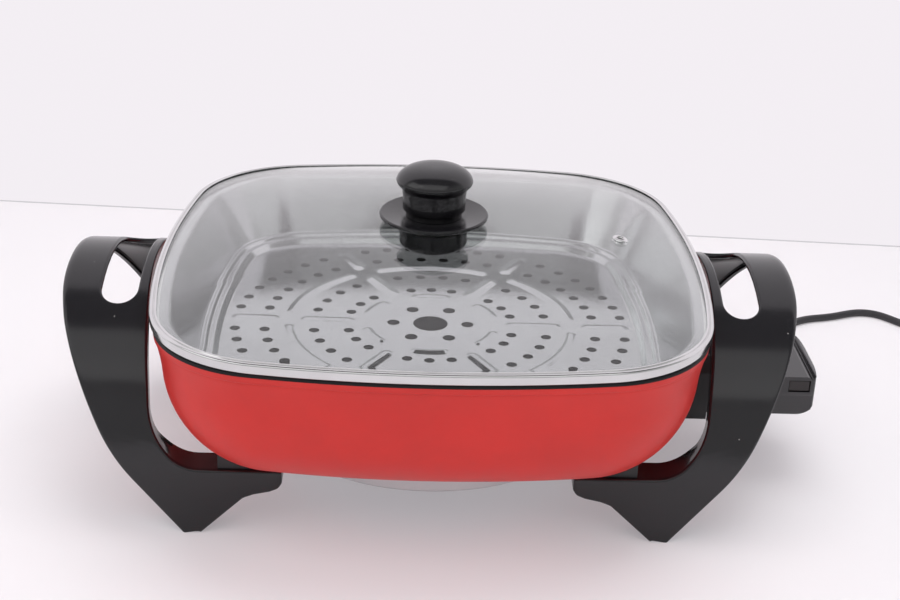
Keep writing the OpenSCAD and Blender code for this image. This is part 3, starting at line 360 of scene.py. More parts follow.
def plastic(name, colour, roughness, grain, grain_size, dust=0.0, shine=0.5):
    """Moulded plastic or rubber: cloudy, with a fine moulded grain."""
    dark, light = np.outer((0.9, 1.12), colour)
    return mottled(name, dark, light, (roughness * 0.88, roughness * 1.15), (38.0, 4.0, 0.6),
                   (grain_size, 3.0, grain, 0.0003), dust=dust, Specular_IOR_Level=shine)


lead_rubber = plastic("lead_rubber", (0.030, 0.029, 0.032), 0.45, 0.25, 900)
route_mm = np.vstack([lead_mm, coil_turns((418, 155), 32.7, 2 * LEAD_R), tail_mm])
lead_path = from_pan(smooth_path(route_mm, 2.5))
lead = skin("lead", tube_grid(lead_path, LEAD_D / 2, 18), lead_rubber, ends=True)

# The boot: a flange in the housing's wall, then a taper with four grooves.
GROOVES, GROOVE_PITCH = 4, 4.67
ALONG_Y = [(0, 0, 1), (1, 0, 0), (0, 1, 0)]
relief_mm = [(5.6, 27), (5.75, 27.3), (5.75, 27.7), (5.5, 28), (4.3, 28.2), (4.3, 29.9),
             (5.0, 30.1), (5.25, 30.6)]
for k in range(GROOVES):
    y = 35.2 + k * GROOVE_PITCH
    r = 5.25 - 1.5 * (y - 30) / 28
    relief_mm += [(r, y - 0.5), (r - 0.25, y - 0.1), (3.5, y + 0.25), (3.4, y + 0.8),
                  (3.5, y + 1.35), (r - 0.35, y + 1.7), (r - 0.15, y + 2.1)]
relief_mm += [(3.9, 55), (3.75, 57.4), (3.5, 57.9), (2.8, 58)]
relief = turned("strain_relief_boot", relief_mm, (EXIT_X, 0, PIN_Z), lead_rubber, 40, ALONG_Y)
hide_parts("strain_relief")
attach(relief, "control")


def round_corners(steps):
    """The four corners of a rounded rectangle, anticlockwise: the angle and
    the signs of x and y at each point."""
    angle = np.radians(np.concatenate([q * 90 + np.linspace(0, 90, steps) for q in range(4)]))
    return angle, np.repeat([(1, 1), (-1, 1), (-1, -1), (1, -1)], steps, axis=0)


def rounded_box(name, low, high, radius, material, steps):
    """A block with all its edges and corners rounded: rings of a rounded
    rectangle, drawn in along a quarter circle at the bottom and the top."""
    low, high = np.asarray(low, float), np.asarray(high, float)
    centre, half = (low + high) / 2, (high - low) / 2 - radius
    a, corner = round_corners(steps + 1)
    rows = []
    for e in np.radians(np.linspace(-90, 90, 2 * steps + 2)):
        flat = centre[:2] + corner * half[:2]
        flat = flat + radius * math.cos(e) * np.stack([np.cos(a), np.sin(a)], axis=1)
        z = centre[2] + math.copysign(half[2], e) + radius * math.sin(e)
        rows.append(np.column_stack([flat, np.full(len(a), z)]))
    return skin(name, from_pan(rows), material, ends=True)


plug = rounded_box("plug_grip", (492, 163.2, 0.1), (514, 192.8, 24), 2.6, lead_rubber, 5)
plug_neck_mm = [(2.9, 478.2), (4.0, 478.4), (4.3, 479.2), (4.55, 482), (3.9, 482.3),
                (3.8, 483.3), (4.7, 483.7), (4.95, 486), (4.2, 486.4), (4.1, 487.3),
                (5.1, 487.7), (5.7, 492), (6.2, 494)]
ALONG_X = [(0, 1, 0), (0, 0, 1), (1, 0, 0)]
plug_neck = turned("plug_neck", plug_neck_mm, (0, PLUG_Y, PLUG_Z), lead_rubber, 36, ALONG_X)
for piece in (plug, plug_neck):
    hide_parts("plug_body")
    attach(piece, "control")
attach(lead, "control")
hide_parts("cord", "cord_coil")

# ---- Pan ----
# Die-cast aluminium, red enamel outside, black non-stick inside and over the
# lip. Its wall flares out under the lip, leans in a little and rounds into
# the bottom with a large radius.
HALF, SIDE_R, CORNER_R = 160.0, 592.0, 74.0      # the lid's outline, in mm
PAN_HALF, PAN_CORNER_R = 157.0, 66.0


def outline(half, side, corner, on_side=10, on_corner=26):
    """Points round the rounded square that pan, tray and lid share: four
    shallow side arcs joined by corner arcs, anticlockwise. The side arcs'
    centres lie on the axes, the corner arcs' on the diagonals, and they are
    tangent."""
    g, h = side - half, side - corner
    k = (math.sqrt(2 * h * h - g * g) - g) / 2
    t = math.atan2(k, k + g)
    a = np.linspace(-t, t, 2 * on_side, endpoint=False)
    b = np.linspace(t, np.pi / 2 - t, on_corner, endpoint=False)
    x = np.concatenate([half - side + side * np.cos(a), k + corner * np.cos(b)])
    y = np.concatenate([side * np.sin(a), k + corner * np.sin(b)])
    return np.concatenate([np.stack([x * c - y * s, x * s + y * c], 1)
                           for c, s in ((1, 0), (0, 1), (-1, 0), (0, -1))])


def loft(rows, half, corner):
    """Rings of the outline at each (inset, height), as one grid. An inset
    past the middle of the corner arcs shrinks the last true ring instead."""
    grid = []
    for inset, z in rows:
        true = min(inset, corner - 4)
        ring = outline(half - true, SIDE_R - true, corner - true)
        ring = ring * max(half - inset, 0.0) / (half - true)
        grid.append(np.column_stack([ring, np.full(len(ring), z)]))
    return from_pan(grid)


def rounded(corners, steps):
    """A line through corners (x, y, radius), each turned into an arc that is
    tangent to both sides, or as large an arc as the sides leave room for."""
    p = np.array([c[:2] for c in corners], float)
    out = [p[0]]
    for k in range(1, len(p) - 1):
        a, b = p[k - 1] - p[k], p[k + 1] - p[k]
        la, lb = np.linalg.norm(a), np.linalg.norm(b)
        a, b = a / la, b / lb
        half = math.acos(np.clip(a @ b, -1, 1)) / 2
        if corners[k][2] == 0 or half > 1.565:
            out.append(p[k])
            continue
        reach = min(corners[k][2] / math.tan(half), 0.49 * la, 0.49 * lb)
        centre = p[k] + (a + b) / np.linalg.norm(a + b) * reach / math.cos(half)
        start, end = p[k] + a * reach - centre, p[k] + b * reach - centre
        turn = math.pi - 2 * half
        for t in np.linspace(0, 1, steps + 1):
            out.append(centre + (math.sin((1 - t) * turn) * start
                                 + math.sin(t * turn) * end) / math.sin(turn))
    return np.array(out + [p[-1]])


red_enamel = mottled("red_enamel", (0.60, 0.014, 0.009), (0.68, 0.018, 0.012), (0.36, 0.46),
                     (16.0, 5.0, 0.6), (420.0, 2.0, 0.10, 0.0003), span=(0.35, 0.68),
                     Specular_IOR_Level=0.5)
non_stick = plastic("non_stick", (0.008, 0.008, 0.009), 0.45, 0.3, 1400, shine=0.3)
PAN_Z, LIP_Z = 42, 128                           # its bottom and its lip, in mm
BEND_Z, BEND_R, INNER_BEND_R = 102, 60, 57.4     # where the wall turns into the bottom
WALL_IN = 1.2                                    # inset of the red wall from the pan's outline


def wall_inset(z, radius=BEND_R, start=0.0):
    """Inset of the pan's wall at a height: its draft, and below the point
    where the bottom's arc starts, that arc."""
    arc = radius - math.sqrt(max(0.0, radius ** 2 - max(0.0, start - z) ** 2))
    return 0.06 * (LIP_Z - z) + arc


quarter = np.radians(np.linspace(0, 90, 25))
pan_rows = [(157, PAN_Z), (100, PAN_Z)]
pan_rows += [(wall_inset(z, BEND_R, BEND_Z) + WALL_IN, z)
             for z in BEND_Z - BEND_R * np.cos(quarter)]
pan_rows += [(wall_inset(z) + WALL_IN - 2.6 * ((z - BEND_Z) / 22) ** 2, z)
             for z in (105, 108, 111, 114, 117, 120, 121.2)]
pan_rows += [(-0.45, 121.9), (-0.5, 122.4), (-1.1, 122.8), (-1.2, 123.3)]
red_rows = len(pan_rows)
pan_lip = rounded([(-1.2, 123.2, 0), (-1.5, 126.4, 0.8), (-1.2, LIP_Z, 0.9), (7, LIP_Z, 0.8),
                   (7, 118, 0)], 4).tolist()
pan_rows += pan_lip[1:] + [(7, 110)]
pan_rows += [(max(7.0, 3.8 + wall_inset(z, INNER_BEND_R, BEND_Z + 1)), z)
             for z in BEND_Z + 1 - INNER_BEND_R * np.sin(np.radians(np.linspace(5, 90, 24)))]
pan_rows += [(100, PAN_Z + 3.6), (157, PAN_Z + 3.6)]
pan = skin("pan", loft(pan_rows, PAN_HALF, PAN_CORNER_R), red_enamel, crease=50,
           second=(red_rows, non_stick))

# The casting's bosses on the right wall, for the sensor and the shroud's two
# screws, and the thicker disc that the heater is pressed on to.
SCREW_Y, SCREW_Z = 28, 74.5
sensor_boss = turned("sensor_boss", [(8, 139), (8, 149.4), (7.4, 150), (3.3, 150), (3.3, 140)],
                     (0, 0, PIN_Z), red_enamel, 40, ALONG_X)
lugs = [turned("shroud_lug_" + side, [(5, 145), (5, 149.6), (4.6, 150), (1.6, 150), (1.6, 146)],
               (0, y, SCREW_Z), red_enamel, 28, ALONG_X)
        for side, y in (("front", -SCREW_Y), ("back", SCREW_Y))]
disc = turned("heater_seat", [(0, 41.9), (102.4, 41.9), (103, 42.4), (103, 45), (0, 45.2)],
              (0, 0, 0), red_enamel, 120)
for piece in [pan, sensor_boss, disc] + lugs:
    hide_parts("pan_body")
    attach(piece, "skillet")

# ---- Heater ----
# A tubular element cast into an aluminium disc that is pressed to the pan's
# bottom. Its cold ends rise through the shroud to two brass-plated pins.


def metal(name, colour, roughness, spread, grain_size=600.0, grain=0.05):
    """Bare metal: one colour with a cloudy roughness and a fine surface grain."""
    dark, light = np.outer((0.93, 1.05), colour)
    return mottled(name, dark, light, (roughness - spread, roughness + spread),
                   (26.0, 5.0, 0.62), (grain_size, 2.0, grain, 0.0002), Metallic=1.0)


def finish_node(node, material):
    """A CAD piece keeps its shape and takes a procedural material."""
    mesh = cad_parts[node].data
    mesh.materials.clear()
    mesh.materials.append(material)


cast_aluminium = metal("cast_aluminium", (0.60, 0.60, 0.61), 0.42, 0.08, 300.0, 0.35)
sheath = metal("sheath_steel", (0.30, 0.29, 0.30), 0.42, 0.08, 700.0, 0.2)
finish_node("heater_casting", cast_aluminium)

LOOP_R, BEND, LOOP_Z, PIN_Y = 78, 12, 37, 15     # in mm
turn = math.asin((PIN_Y + BEND) / (LOOP_R + BEND))   # where the loop meets its bends
bend_x = (LOOP_R + BEND) * math.cos(turn)
cold = [(x, PIN_Y, z) for x, z in rounded([(148.5, PIN_Z, 0), (142.0, PIN_Z, BEND),
                                           (118.5, LOOP_Z, BEND), (bend_x, LOOP_Z, 0)], 8)]
cold += [(bend_x + BEND * math.cos(a), PIN_Y + BEND + BEND * math.sin(a), LOOP_Z)
         for a in np.linspace(-np.pi / 2, turn - np.pi, 7)[1:]]
loop = [(LOOP_R * math.cos(a), LOOP_R * math.sin(a), LOOP_Z)
        for a in np.linspace(turn, 2 * np.pi - turn, 90)[1:-1]]
element_path = from_pan(cold + loop + [(x, -y, z) for x, y, z in cold[::-1]])
element = skin("element", tube_grid(element_path, 0.0035, 20), sheath, ends=True)
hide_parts("heating_element")
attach(element, "skillet")

# ---- Terminals and shroud ----
# Two pins in ceramic bushes stand in a moulded heat-proof shroud, which two
# screws hold to the casting's lugs. The control plugs in over the pins.
steel = metal("steel", (0.56, 0.56, 0.57), 0.30, 0.06)
brass = metal("brass", (0.72, 0.55, 0.28), 0.28, 0.06)
dark_plastic = plastic("dark_plastic", (0.022, 0.022, 0.024), 0.46, 0.35, 1500)
ceramic = plastic("ceramic", (0.72, 0.69, 0.62), 0.35, 0.2, 900)
for node, material in (("terminal_pins", brass), ("terminal_bushes", ceramic),
                       ("shroud_screws", steel)):
    finish_node(node, material)


def eased(node, name, width, material, crease=32, angle=40):
    """A copy of a CAD piece with its doubled points welded, its flat faces
    joined and its edges rounded."""
    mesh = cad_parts[node].data.copy()
    mesh.name = name
    welded(mesh, 2e-6, flatten=True)
    mesh.materials.clear()
    mesh.materials.append(material)
    piece = placed(name, mesh, crease)
    edge = piece.modifiers.new("edges", "BEVEL")
    edge.width, edge.segments, edge.angle_limit = width, 3, math.radians(angle)
    edge.use_clamp_overlap = True
    edge.harden_normals = True
    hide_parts(node)
    return piece


shroud = eased("terminal_shroud", "shroud", 0.0006, dark_plastic)
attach(shroud, "skillet")

# ---- Handles and legs ----
# One phenolic moulding each side: an arch that stands on two feet, with the
# grip at its top and an arm in under the pan from each leg. It is a channel,
# open towards the pan, with cross ribs inside and an opening for fingers.
ARCH_R, ARCH_Z, BAND, WALL = 100.0, 32.0, 20.0, 3.0   # the arch's circle, and the channel
LEG_Y, EDGE_R = 74.0, 1.8          # where the inner edge turns straight, and its rounding
GRIP_X, GRIP_HALF, GRIP_R = 178.8, 38.0, 10.0         # the finger opening
POST_X, POST_Y = 110.0, 90.0       # the leg screws


def edge_x(y):
    """Inner edge of the moulding: it follows the lid's side arc 3 mm outside
    it, and is straight over the outer quarter of each leg."""
    y = np.abs(y)
    curved, at_leg, at_end = (HALF - SIDE_R + np.sqrt((SIDE_R + 3) ** 2 - v ** 2)
                              for v in (np.minimum(y, LEG_Y), LEG_Y, ARCH_R))
    straight = at_leg + (at_end - at_leg) * (y - LEG_Y) / (ARCH_R - LEG_Y)
    return np.where(y < LEG_Y, curved, straight)


FLANK_X, FLANK_Z = rounded([(139, 0, 0), (177, 47.6, 150), (207.5, 112, 60), (213, 126, 30),
                            (213, 137, 0)], 14).T


def flank_x(z):
    """Outer edge of the moulding at a height, and how fast it moves out."""
    below, x, above = np.interp([z - 0.5, z, z + 0.5], FLANK_Z, FLANK_X)
    return x, above - below


def divided(line, longest):
    """The line with its long pieces cut into equal ones."""
    out = [line[0]]
    for a, b in zip(line[:-1], line[1:]):
        n = max(1, math.ceil(np.linalg.norm(b - a) / longest))
        out += [a + (b - a) * k / n for k in range(1, n + 1)]
    return np.array(out)


# Front view of a leg, from the sole up round the arm's stepped end, along
# its top and up the knee to where the arch's own curve takes over.
KNEE = float(edge_x(ARCH_R))
ARM_Z, KNEE_TOP = 41.0, 86.0
arm = divided(rounded([(128, 0, 0), (104, 23, 7), (98, 25.4, 6), (89, 27.4, 5), (84.2, 29.5, 5),
                       (82, 33, 4), (82, ARM_Z, 2.2), (KNEE - 15, ARM_Z, 22), (KNEE, 63, 70),
                       (KNEE, 120, 0)], 7), 4.0)
arm = arm[arm[:, 1] <= KNEE_TOP]


def handle_rows():
    """The rows of one moulding from the front foot to the back foot. Each is
    (inner point, its normal into the wall, height at the flank, side of the
    arch, open): the points are in the front view, in millimetres. Closed
    rows, in pairs, are the sole and the ribs."""
    way = heading(arm)
    normal = np.stack([way[:, 1], -way[:, 0]], axis=1)
    run = np.concatenate([[0], np.cumsum(np.linalg.norm(np.diff(arm, axis=0), axis=1))])
    height = np.interp(run / run[-1], [0, 0.17, 0.37, 0.66, 1], [0, 12, 26, 44, arm[-1, 1]])
    rows, ribs = [], [15, 62]                    # the ribs' heights at the flank
    for p, q, n, z in zip(arm, np.vstack([arm[1:], arm[-1:]]), normal, height):
        if rows and rows[-1][2] < 3 <= z:
            rows += [rows[-1], (*rows[-1][:4], True)]
        if ribs and z >= ribs[0] and np.linalg.norm(q - p) > 2.5:
            ribs.pop(0)
            for share, is_open in ((0, True), (0.02, False), (0.5, False), (0.52, True)):
                rows.append((p + (q - p) * share, n, z + 1.4 * share, -1, is_open))
            continue
        rows.append((p, n, z, -1, z >= 3))
    # Evenly along the arch, but for one rib with a close pair of rows each side.
    low, rib = math.asin((arm[-1, 1] - ARCH_Z) / ARCH_R), math.asin(0.6)
    half_arch = [low + (math.pi / 2 - low) * k / 48 for k in range(1, 49)]
    half_arch = [a for a in half_arch if abs(a - rib) > 0.016]
    half_arch += [rib - 0.0121, rib - 0.0120, rib + 0.0120, rib + 0.0121]
    for a in sorted(half_arch):
        z = ARCH_Z + ARCH_R * math.sin(a)
        rows.append(((None, z), (1.0, 0.0), z, -1, abs(a - rib) > 0.01205))
    return rows + [(p, n, z, 1, o) for p, n, z, _, o in rows[:-1][::-1]]


def handle_section(brow, drop, band, band_out):
    """The channel's section as (place, inset from the inner edge, inset from
    the flank, depth, on the inside). Place is 0 at the inner edge, 1 at the
    flank and between across the band; the depth is measured from the arch's
    outer face. It runs up the inner edge, across, down the flank and back.
    The inner corner has the edge's radius, the outer one is a quarter of an
    ellipse, as wide as the brow and as deep as the drop. The wall at the
    flank is as deep as the outer band."""
    a = np.radians(np.linspace(0, 90, 9))
    wide, deep = max(brow - WALL, 1.0), max(drop - WALL, 1.0)
    up = [(0, 0, 0, EDGE_R + (band - 0.5 - EDGE_R) * t, 0) for t in (1, 0.7, 0.4, 0.1)]
    up += [(0, EDGE_R * (1 - math.cos(v)), 0, EDGE_R * (1 - math.sin(v)), 0) for v in a]
    over = [(t, EDGE_R, brow, 0, 0) for t in np.linspace(0, 1, 15)[1:-1]]
    down = [(1, 0, brow * (1 - math.sin(v)), drop * (1 - math.cos(v)), 0) for v in a]
    down += [(1, 0, 0, drop + (band_out - 0.5 - drop) * t, 0) for t in (0.1, 0.4, 0.7, 1)]
    back = [(1, 0, 0.5, band_out, 0), (1, 0, WALL - 0.4, band_out, 0),
            (1, 0, WALL, band_out - 0.4, 1)]
    back += [(1, 0, WALL + wide * (1 - math.sin(v)), WALL + deep * (1 - math.cos(v)), 1)
             for v in a[::-2]]
    back += [(t, WALL + 1, WALL + wide, WALL, 1) for t in np.linspace(1, 0, 8)[1:-1]]
    return up + over + down + back + [(0, WALL + 1, 0, WALL, 1), (0, WALL, 0, 4, 1),
                                      (0, WALL, 0, band * 0.6, 1), (0, WALL, 0, band - 0.4, 1),
                                      (0, WALL - 0.4, 0, band, 0), (0, 0.5, 0, band, 0)]


def sunk(z, depth):
    """Height and distance from the middle plane of a point that lies deeper
    than the arch's outer face: straight in on the legs, towards the arch's
    axis above the knee, and in between where one passes into the other."""
    radial = smoothstep((z - ARM_Z) / 20)
    z = z + radial * depth * (ARCH_Z - z) / ARCH_R
    return z, np.sqrt(np.maximum((ARCH_R - depth) ** 2 - np.maximum(z - ARCH_Z, 0) ** 2, 0))


def handle_grid():
    """Every row of the channel, as a grid of points for the right side.
    Upwards the brow grows wider and the bands shallower, by S-curves, and
    the ribs fill less of them."""
    grid = []
    for p, n, flank_z, side, is_open in handle_rows():
        ring = []
        high = float(smoothstep((flank_z - 98) / 32))
        band = BAND - 10 * float(smoothstep((flank_z - 70) / 50))
        band_out = BAND - 15.2 * float(smoothstep((flank_z - 46) / 26))
        for place, inset, inset_out, depth, inside in handle_section(
                EDGE_R + 3.2 * high, EDGE_R + 0.9 * high, band, band_out):
            if inside and not is_open:
                full = 1 - 0.75 * float(smoothstep((flank_z - 66) / 20))
                depth = max(depth, (band + (band_out - band) * place) * full - 0.05)
            leg = p[0] is not None
            z, y = sunk(p[1] + (n[1] * inset if leg else 0.0), depth)
            if leg:
                lean = float(smoothstep((p[0] - 100) / 30)) * (float(edge_x(y)) - KNEE)
                x = p[0] + n[0] * inset + lean
            else:
                x = float(edge_x(y)) + inset
            z_out, y_out = sunk(flank_z, depth)
            x_out, slope = flank_x(z_out)
            x_out -= inset_out * math.sqrt(1 + slope * slope)
            ring.append((x + (x_out - x) * place, side * (y + (y_out - y) * place),
                         z + (z_out - z) * place))
        grid.append(ring)
    return np.array(grid)


def finger_ring(out, depth):
    """A rounded rectangle round the finger opening, moved outwards, at a
    depth under the arch's face."""
    n = 9                                        # points on each corner
    a, corner = round_corners(n)
    ring = np.stack([GRIP_X + corner[:, 0] * 0.3 + (GRIP_R + out) * np.cos(a),
                     corner[:, 1] * GRIP_HALF + (GRIP_R + out) * np.sin(a)], axis=1)
    ends = np.linspace(ring[4 * n - 1], ring[0], 8)[1:-1]
    middle = np.linspace(ring[2 * n - 1], ring[2 * n], 8)[1:-1]
    ring = np.concatenate([ring[:2 * n], middle, ring[2 * n:], ends])
    return np.column_stack([ring, ARCH_Z + np.sqrt((ARCH_R - depth) ** 2 - ring[:, 1] ** 2)])


def fused(piece, add, remove):
    """The piece with other solids joined to it and cut out of it. The tools
    are deleted afterwards."""
    for tools, what in ((add, "UNION"), (remove, "DIFFERENCE")):
        for tool in tools:
            step = piece.modifiers.new(what.lower(), "BOOLEAN")
            step.operation, step.solver, step.object = what, "MANIFOLD", tool
    bpy.context.view_layer.update()
    done = piece.evaluated_get(bpy.context.evaluated_depsgraph_get())
    mesh = bpy.data.meshes.new_from_object(done)
    piece.modifiers.clear()
    old, piece.data = piece.data, mesh
    mesh.name = piece.name
    bpy.data.meshes.remove(old)
    for tool in add + remove:
        bpy.data.objects.remove(tool)
    mesh.shade_smooth()
    mesh.set_sharp_from_angle(angle=math.radians(40))


def turned_to(grid, side):
    """The grid for the left side is the right one's mirror image."""
    return from_pan(grid) if side > 0 else from_pan(grid[:, ::-1] * np.array([-1, 1, 1]))


phenolic = plastic("phenolic", (0.0105, 0.0098, 0.0118), 0.17, 0.06, 900, dust=0.030, shine=0.58)
# The opening's cutter, as (outwards, depth), with its rim rounded over.
opening = [(0.9, 27), (0.9, 3.4), (0.3, 2.8)]
opening += [(EDGE_R * (1 - math.cos(a)), EDGE_R * (1 - math.sin(a)))
            for a in np.radians(np.linspace(0, 72, 7))]
opening += [(1.45, -0.35), (1.6, -16)]
post_mm = [(0, 30), (8.5, 30), (8.5, ARM_Z - 0.1), (0, ARM_Z - 0.1)]
bore_mm = [(0, -2), (5.0, -2), (5.0, 33.4), (4.6, 34), (2.2, 34), (2.2, 50), (0, 50)]
for side, name in ((1, "right_handle"), (-1, "left_handle")):
    body = skin(name + "_body", turned_to(handle_grid(), side), phenolic, ends=True)
    rings = np.array([finger_ring(out, depth) for out, depth in opening])
    hole = skin("hole", turned_to(rings, side), phenolic, ends=True)
    posts, bores = ([turned(tool, profile, (side * POST_X, y, 0), phenolic, 32)
                     for y in (-POST_Y, POST_Y)]
                    for tool, profile in (("post", post_mm), ("bore", bore_mm)))
    fused(body, posts, [hole] + bores)
    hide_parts(name)
    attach(body, "skillet")
for node in ("leg_brackets", "leg_screws", "leg_washers"):
    finish_node(node, dark_plastic if node == "leg_brackets" else steel)

# ---- Steamer tray ----
# A pressed aluminium tray that hangs in the pan by its flange. Ridges are
# pressed up out of its floor in a wheel, with steam holes between them and a
# hole in the middle to lift it by. It is bright, like a blurred mirror.
TRAY_Z, TRAY_T = 88.0, 1.0
RIB_W, RIB_H, INNER_RING, OUTER_RING = 9.0, 1.25, 39.5, 85.5
FLOOR_HALF, PATTERN_TURN = 123.2, 0.7            # the turn is in degrees
tray_aluminium = metal("tray_aluminium", (0.57, 0.57, 0.585), 0.15, 0.02, 42.0, 0.012)


def beside(line, gap):
    """The line moved to its left by the gap, square to its own direction."""
    way = heading(line)
    return line + gap * np.stack([-way[:, 1], way[:, 0]], axis=1)


# Its flange, its wall and two steps down to the floor, seen in section.
upper = rounded([(3.5, 129, 0), (11.6, 129, 2.4), (25.2, 92.6, 1.6), (27.6, 93.3, 1.2),
                 (29.4, 91.2, 0.9), (32.4, 91.5, 1.2), (35.6, 87.94, 1.6), (37.6, 87.94, 0)], 6)
wall_rows = np.vstack([beside(upper, -TRAY_T)[::-1], upper])
tray_wall = skin("tray_wall", loft(wall_rows, HALF, CORNER_R), tray_aluminium, round_rows=True,
                 crease=60)


def floor_grid(cells):
    """Points over the floor: an even square grid, with each point drawn
    towards the rounded outline by the fourth power of its share of the way."""
    inset = HALF - FLOOR_HALF
    ring = outline(FLOOR_HALF, SIDE_R - inset, CORNER_R - inset, 20, 40)
    at = np.arctan2(ring[:, 1], ring[:, 0])
    order = np.argsort(at)
    u = np.linspace(-1, 1, cells + 1)
    p = np.stack(np.meshgrid(u, u), axis=-1)
    share = np.abs(p).max(-1)
    angle = np.arctan2(p[..., 1], p[..., 0])
    reach = np.interp(angle, at[order], np.hypot(*ring[order].T), period=2 * np.pi)
    square = FLOOR_HALF / np.maximum(np.abs(np.cos(angle)), np.abs(np.sin(angle)))
    return p * (FLOOR_HALF * (1 + (reach / square - 1) * share ** 4))[..., None]


def steam_holes():
    """(x, y, radius, cells from middle to edge) of each hole in the floor."""
    holes = [(0.0, 0.0, 10.5, 10)]
    for start in np.arange(6) * 60.0 - PATTERN_TURN:
        spots = [(22.5, start, 3.8, 4)]
        for radius, count, step in ((50.5, 3, 14.8), (71, 4, 12), (100.3, 6, 8.5), (117.8, 7, 7.5)):
            first = start + 30 - step * (count - 1) / 2
            spots += [(radius, first + step * k, 3.1, 3) for k in range(count)]
        holes += [(r * math.cos(math.radians(a)), r * math.sin(math.radians(a)), size, cells)
                  for r, a, size, cells in spots]
    return holes


def ridge_height(p):
    """Height of the pressed ridges at each point: each rises from its edge to
    a round crest by an S-curve of the distance from its centre line. The
    rings' arcs and the spokes repeat every 60 degrees."""
    r = np.hypot(p[..., 0], p[..., 1])
    a = np.mod(np.degrees(np.arctan2(p[..., 1], p[..., 0])) + PATTERN_TURN, 60)
    height = np.zeros(r.shape)
    for radius, half_span in ((INNER_RING, 17), (OUTER_RING, 25)):
        half = RIB_W * 0.375
        past = np.radians(np.maximum(np.abs(a - 30) - half_span + math.degrees(half / radius), 0))
        gap = np.hypot(r * np.cos(past) - radius, r * np.sin(past))
        height = np.maximum(height, RIB_H * smoothstep((half - gap) / (half * 0.86)))
    off = np.radians(np.minimum(a, 60 - a))
    for low, high in ((INNER_RING + 6, OUTER_RING - 6), (OUTER_RING + 6, 120.5)):
        half = RIB_W / 2
        along = r * np.cos(off)
        past = np.maximum(np.maximum(low + half - along, along - high + half), 0)
        gap = np.hypot(r * np.sin(off), past)
        height = np.maximum(height, RIB_H * smoothstep((half - gap) / (half * 0.80)))
    return height


def tray_floor():
    """(points, faces of the plate, point numbers round each hole). Round each
    hole the grid's squares are turned into circles, and what lies inside the
    smallest is left out."""
    grid = floor_grid(246)
    n = len(grid)
    keep = np.ones((n - 1, n - 1), bool)
    rims = []
    for x, y, radius, a in steam_holes():
        i, j = np.unravel_index(np.argmin(np.hypot(grid[..., 0] - x, grid[..., 1] - y)), (n, n))
        di, dj = np.meshgrid(np.arange(-a - 1, a + 2), np.arange(-a - 1, a + 2), indexing="ij")
        m = np.maximum(np.abs(di), np.abs(dj))
        steep = np.abs(di) > np.abs(dj)
        ratio = np.where(steep, dj / np.where(di == 0, 1, di), di / np.where(dj == 0, 1, dj))
        way = np.where(steep, np.where(di > 0, 90, 270) - 45 * ratio,
                       np.where(dj > 0, 0, 180) + 45 * ratio)
        ring = np.stack([x + radius * m / a * np.cos(np.radians(way)),
                         y + radius * m / a * np.sin(np.radians(way))], axis=-1)
        share = np.clip((m - a) / 2, 0, 1)[..., None]
        block = (slice(i - a - 1, i + a + 2), slice(j - a - 1, j + a + 2))
        moved = ring * (1 - share) + grid[block] * share
        grid[block] = np.where((m >= a)[..., None], moved, grid[block])
        keep[i - a:i + a, j - a:j + a] = False
        on = m == a
        order = np.argsort(way[on] % 360)
        rims.append(((i + di[on]) * n + j + dj[on])[order])
    i, j = np.nonzero(keep)
    faces = np.stack([i * n + j, i * n + j + 1, (i + 1) * n + j + 1, (i + 1) * n + j], axis=1)
    return grid.reshape(-1, 2), faces, rims


# The plate's top, and faces that join it to the underside in the holes and
# round the edge.
plate, plate_faces, hole_rims = tray_floor()
plate_z = TRAY_Z + ridge_height(plate)
count = len(plate)
rim_faces = np.vstack([np.stack([rim, np.roll(rim, -1), np.roll(rim, -1) + count, rim + count], 1)
                       for rim in hole_rims])
side_n = int(math.sqrt(count))
edge = np.concatenate([np.arange(side_n - 1), np.arange(1, side_n) * side_n - 1,
                       count - 1 - np.arange(side_n - 1), np.arange(side_n - 1, 0, -1) * side_n])
edge_faces = np.stack([edge + count, np.roll(edge, -1) + count, np.roll(edge, -1), edge], 1)
both = from_pan(np.vstack([np.column_stack([plate, plate_z]),
                           np.column_stack([plate, plate_z - TRAY_T])]))


def part_of(name, faces):
    """A piece of the plate made of some of its faces and their own points."""
    used, again = np.unique(faces, return_inverse=True)
    return finished(name, both[used], again.reshape(faces.shape).tolist(), tray_aluminium, 50)


tray_top = part_of("tray_floor", np.vstack([plate_faces, rim_faces]))
tray_under = part_of("tray_underside", np.vstack([plate_faces[:, ::-1] + count, edge_faces]))
for piece in (tray_wall, tray_top, tray_under):
    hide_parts("steamer_tray")
    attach(piece, "tray")

# ---- Lid ----
# Clear tempered glass, pressed into a low dome that is flat in the middle for
# the knob, in a rolled stainless rim. A steel eyelet lets out the steam.
GLASS_HALF, GLASS_T, GLASS_Z = 159.1, 3.6, 133.4
DOME_RISE, DOME_POWER, FLAT_S = 21.0, 2.3, 20 / GLASS_HALF


def dome_z(s):
    """Height of the glass at a share of the way to its edge: flat over the
    knob's boss, then falling by a power of the rest of the way."""
    return GLASS_Z + DOME_RISE * (1 - (np.maximum(0, s - FLAT_S) / (1 - FLAT_S)) ** DOME_POWER)


def glass():
    """Clear tempered glass, a little green, that lets lamps shine through."""
    material = bpy.data.materials.new("glass")
    add = node_maker(material)
    place = add("TexCoord").outputs["Object"]
    cloud = add("TexNoise", Vector=place, Scale=22.0, Detail=4.0)
    haze = add("MapRange", _0=cloud, _1=0.45, _2=0.75, _3=0.0, _4=0.045)
    clear = add("BsdfPrincipled", Base_Color=(0.965, 0.985, 0.975, 1.0),
                Roughness=haze, IOR=1.5, Transmission_Weight=1.0)
    through = add("BsdfTransparent", Color=(0.90, 0.92, 0.91, 1.0))
    path = add("LightPath")
    mixed = add("MixShader", _0=path.outputs["Is Shadow Ray"], _1=clear, _2=through)
    add("OutputMaterial", Surface=mixed)
    return material


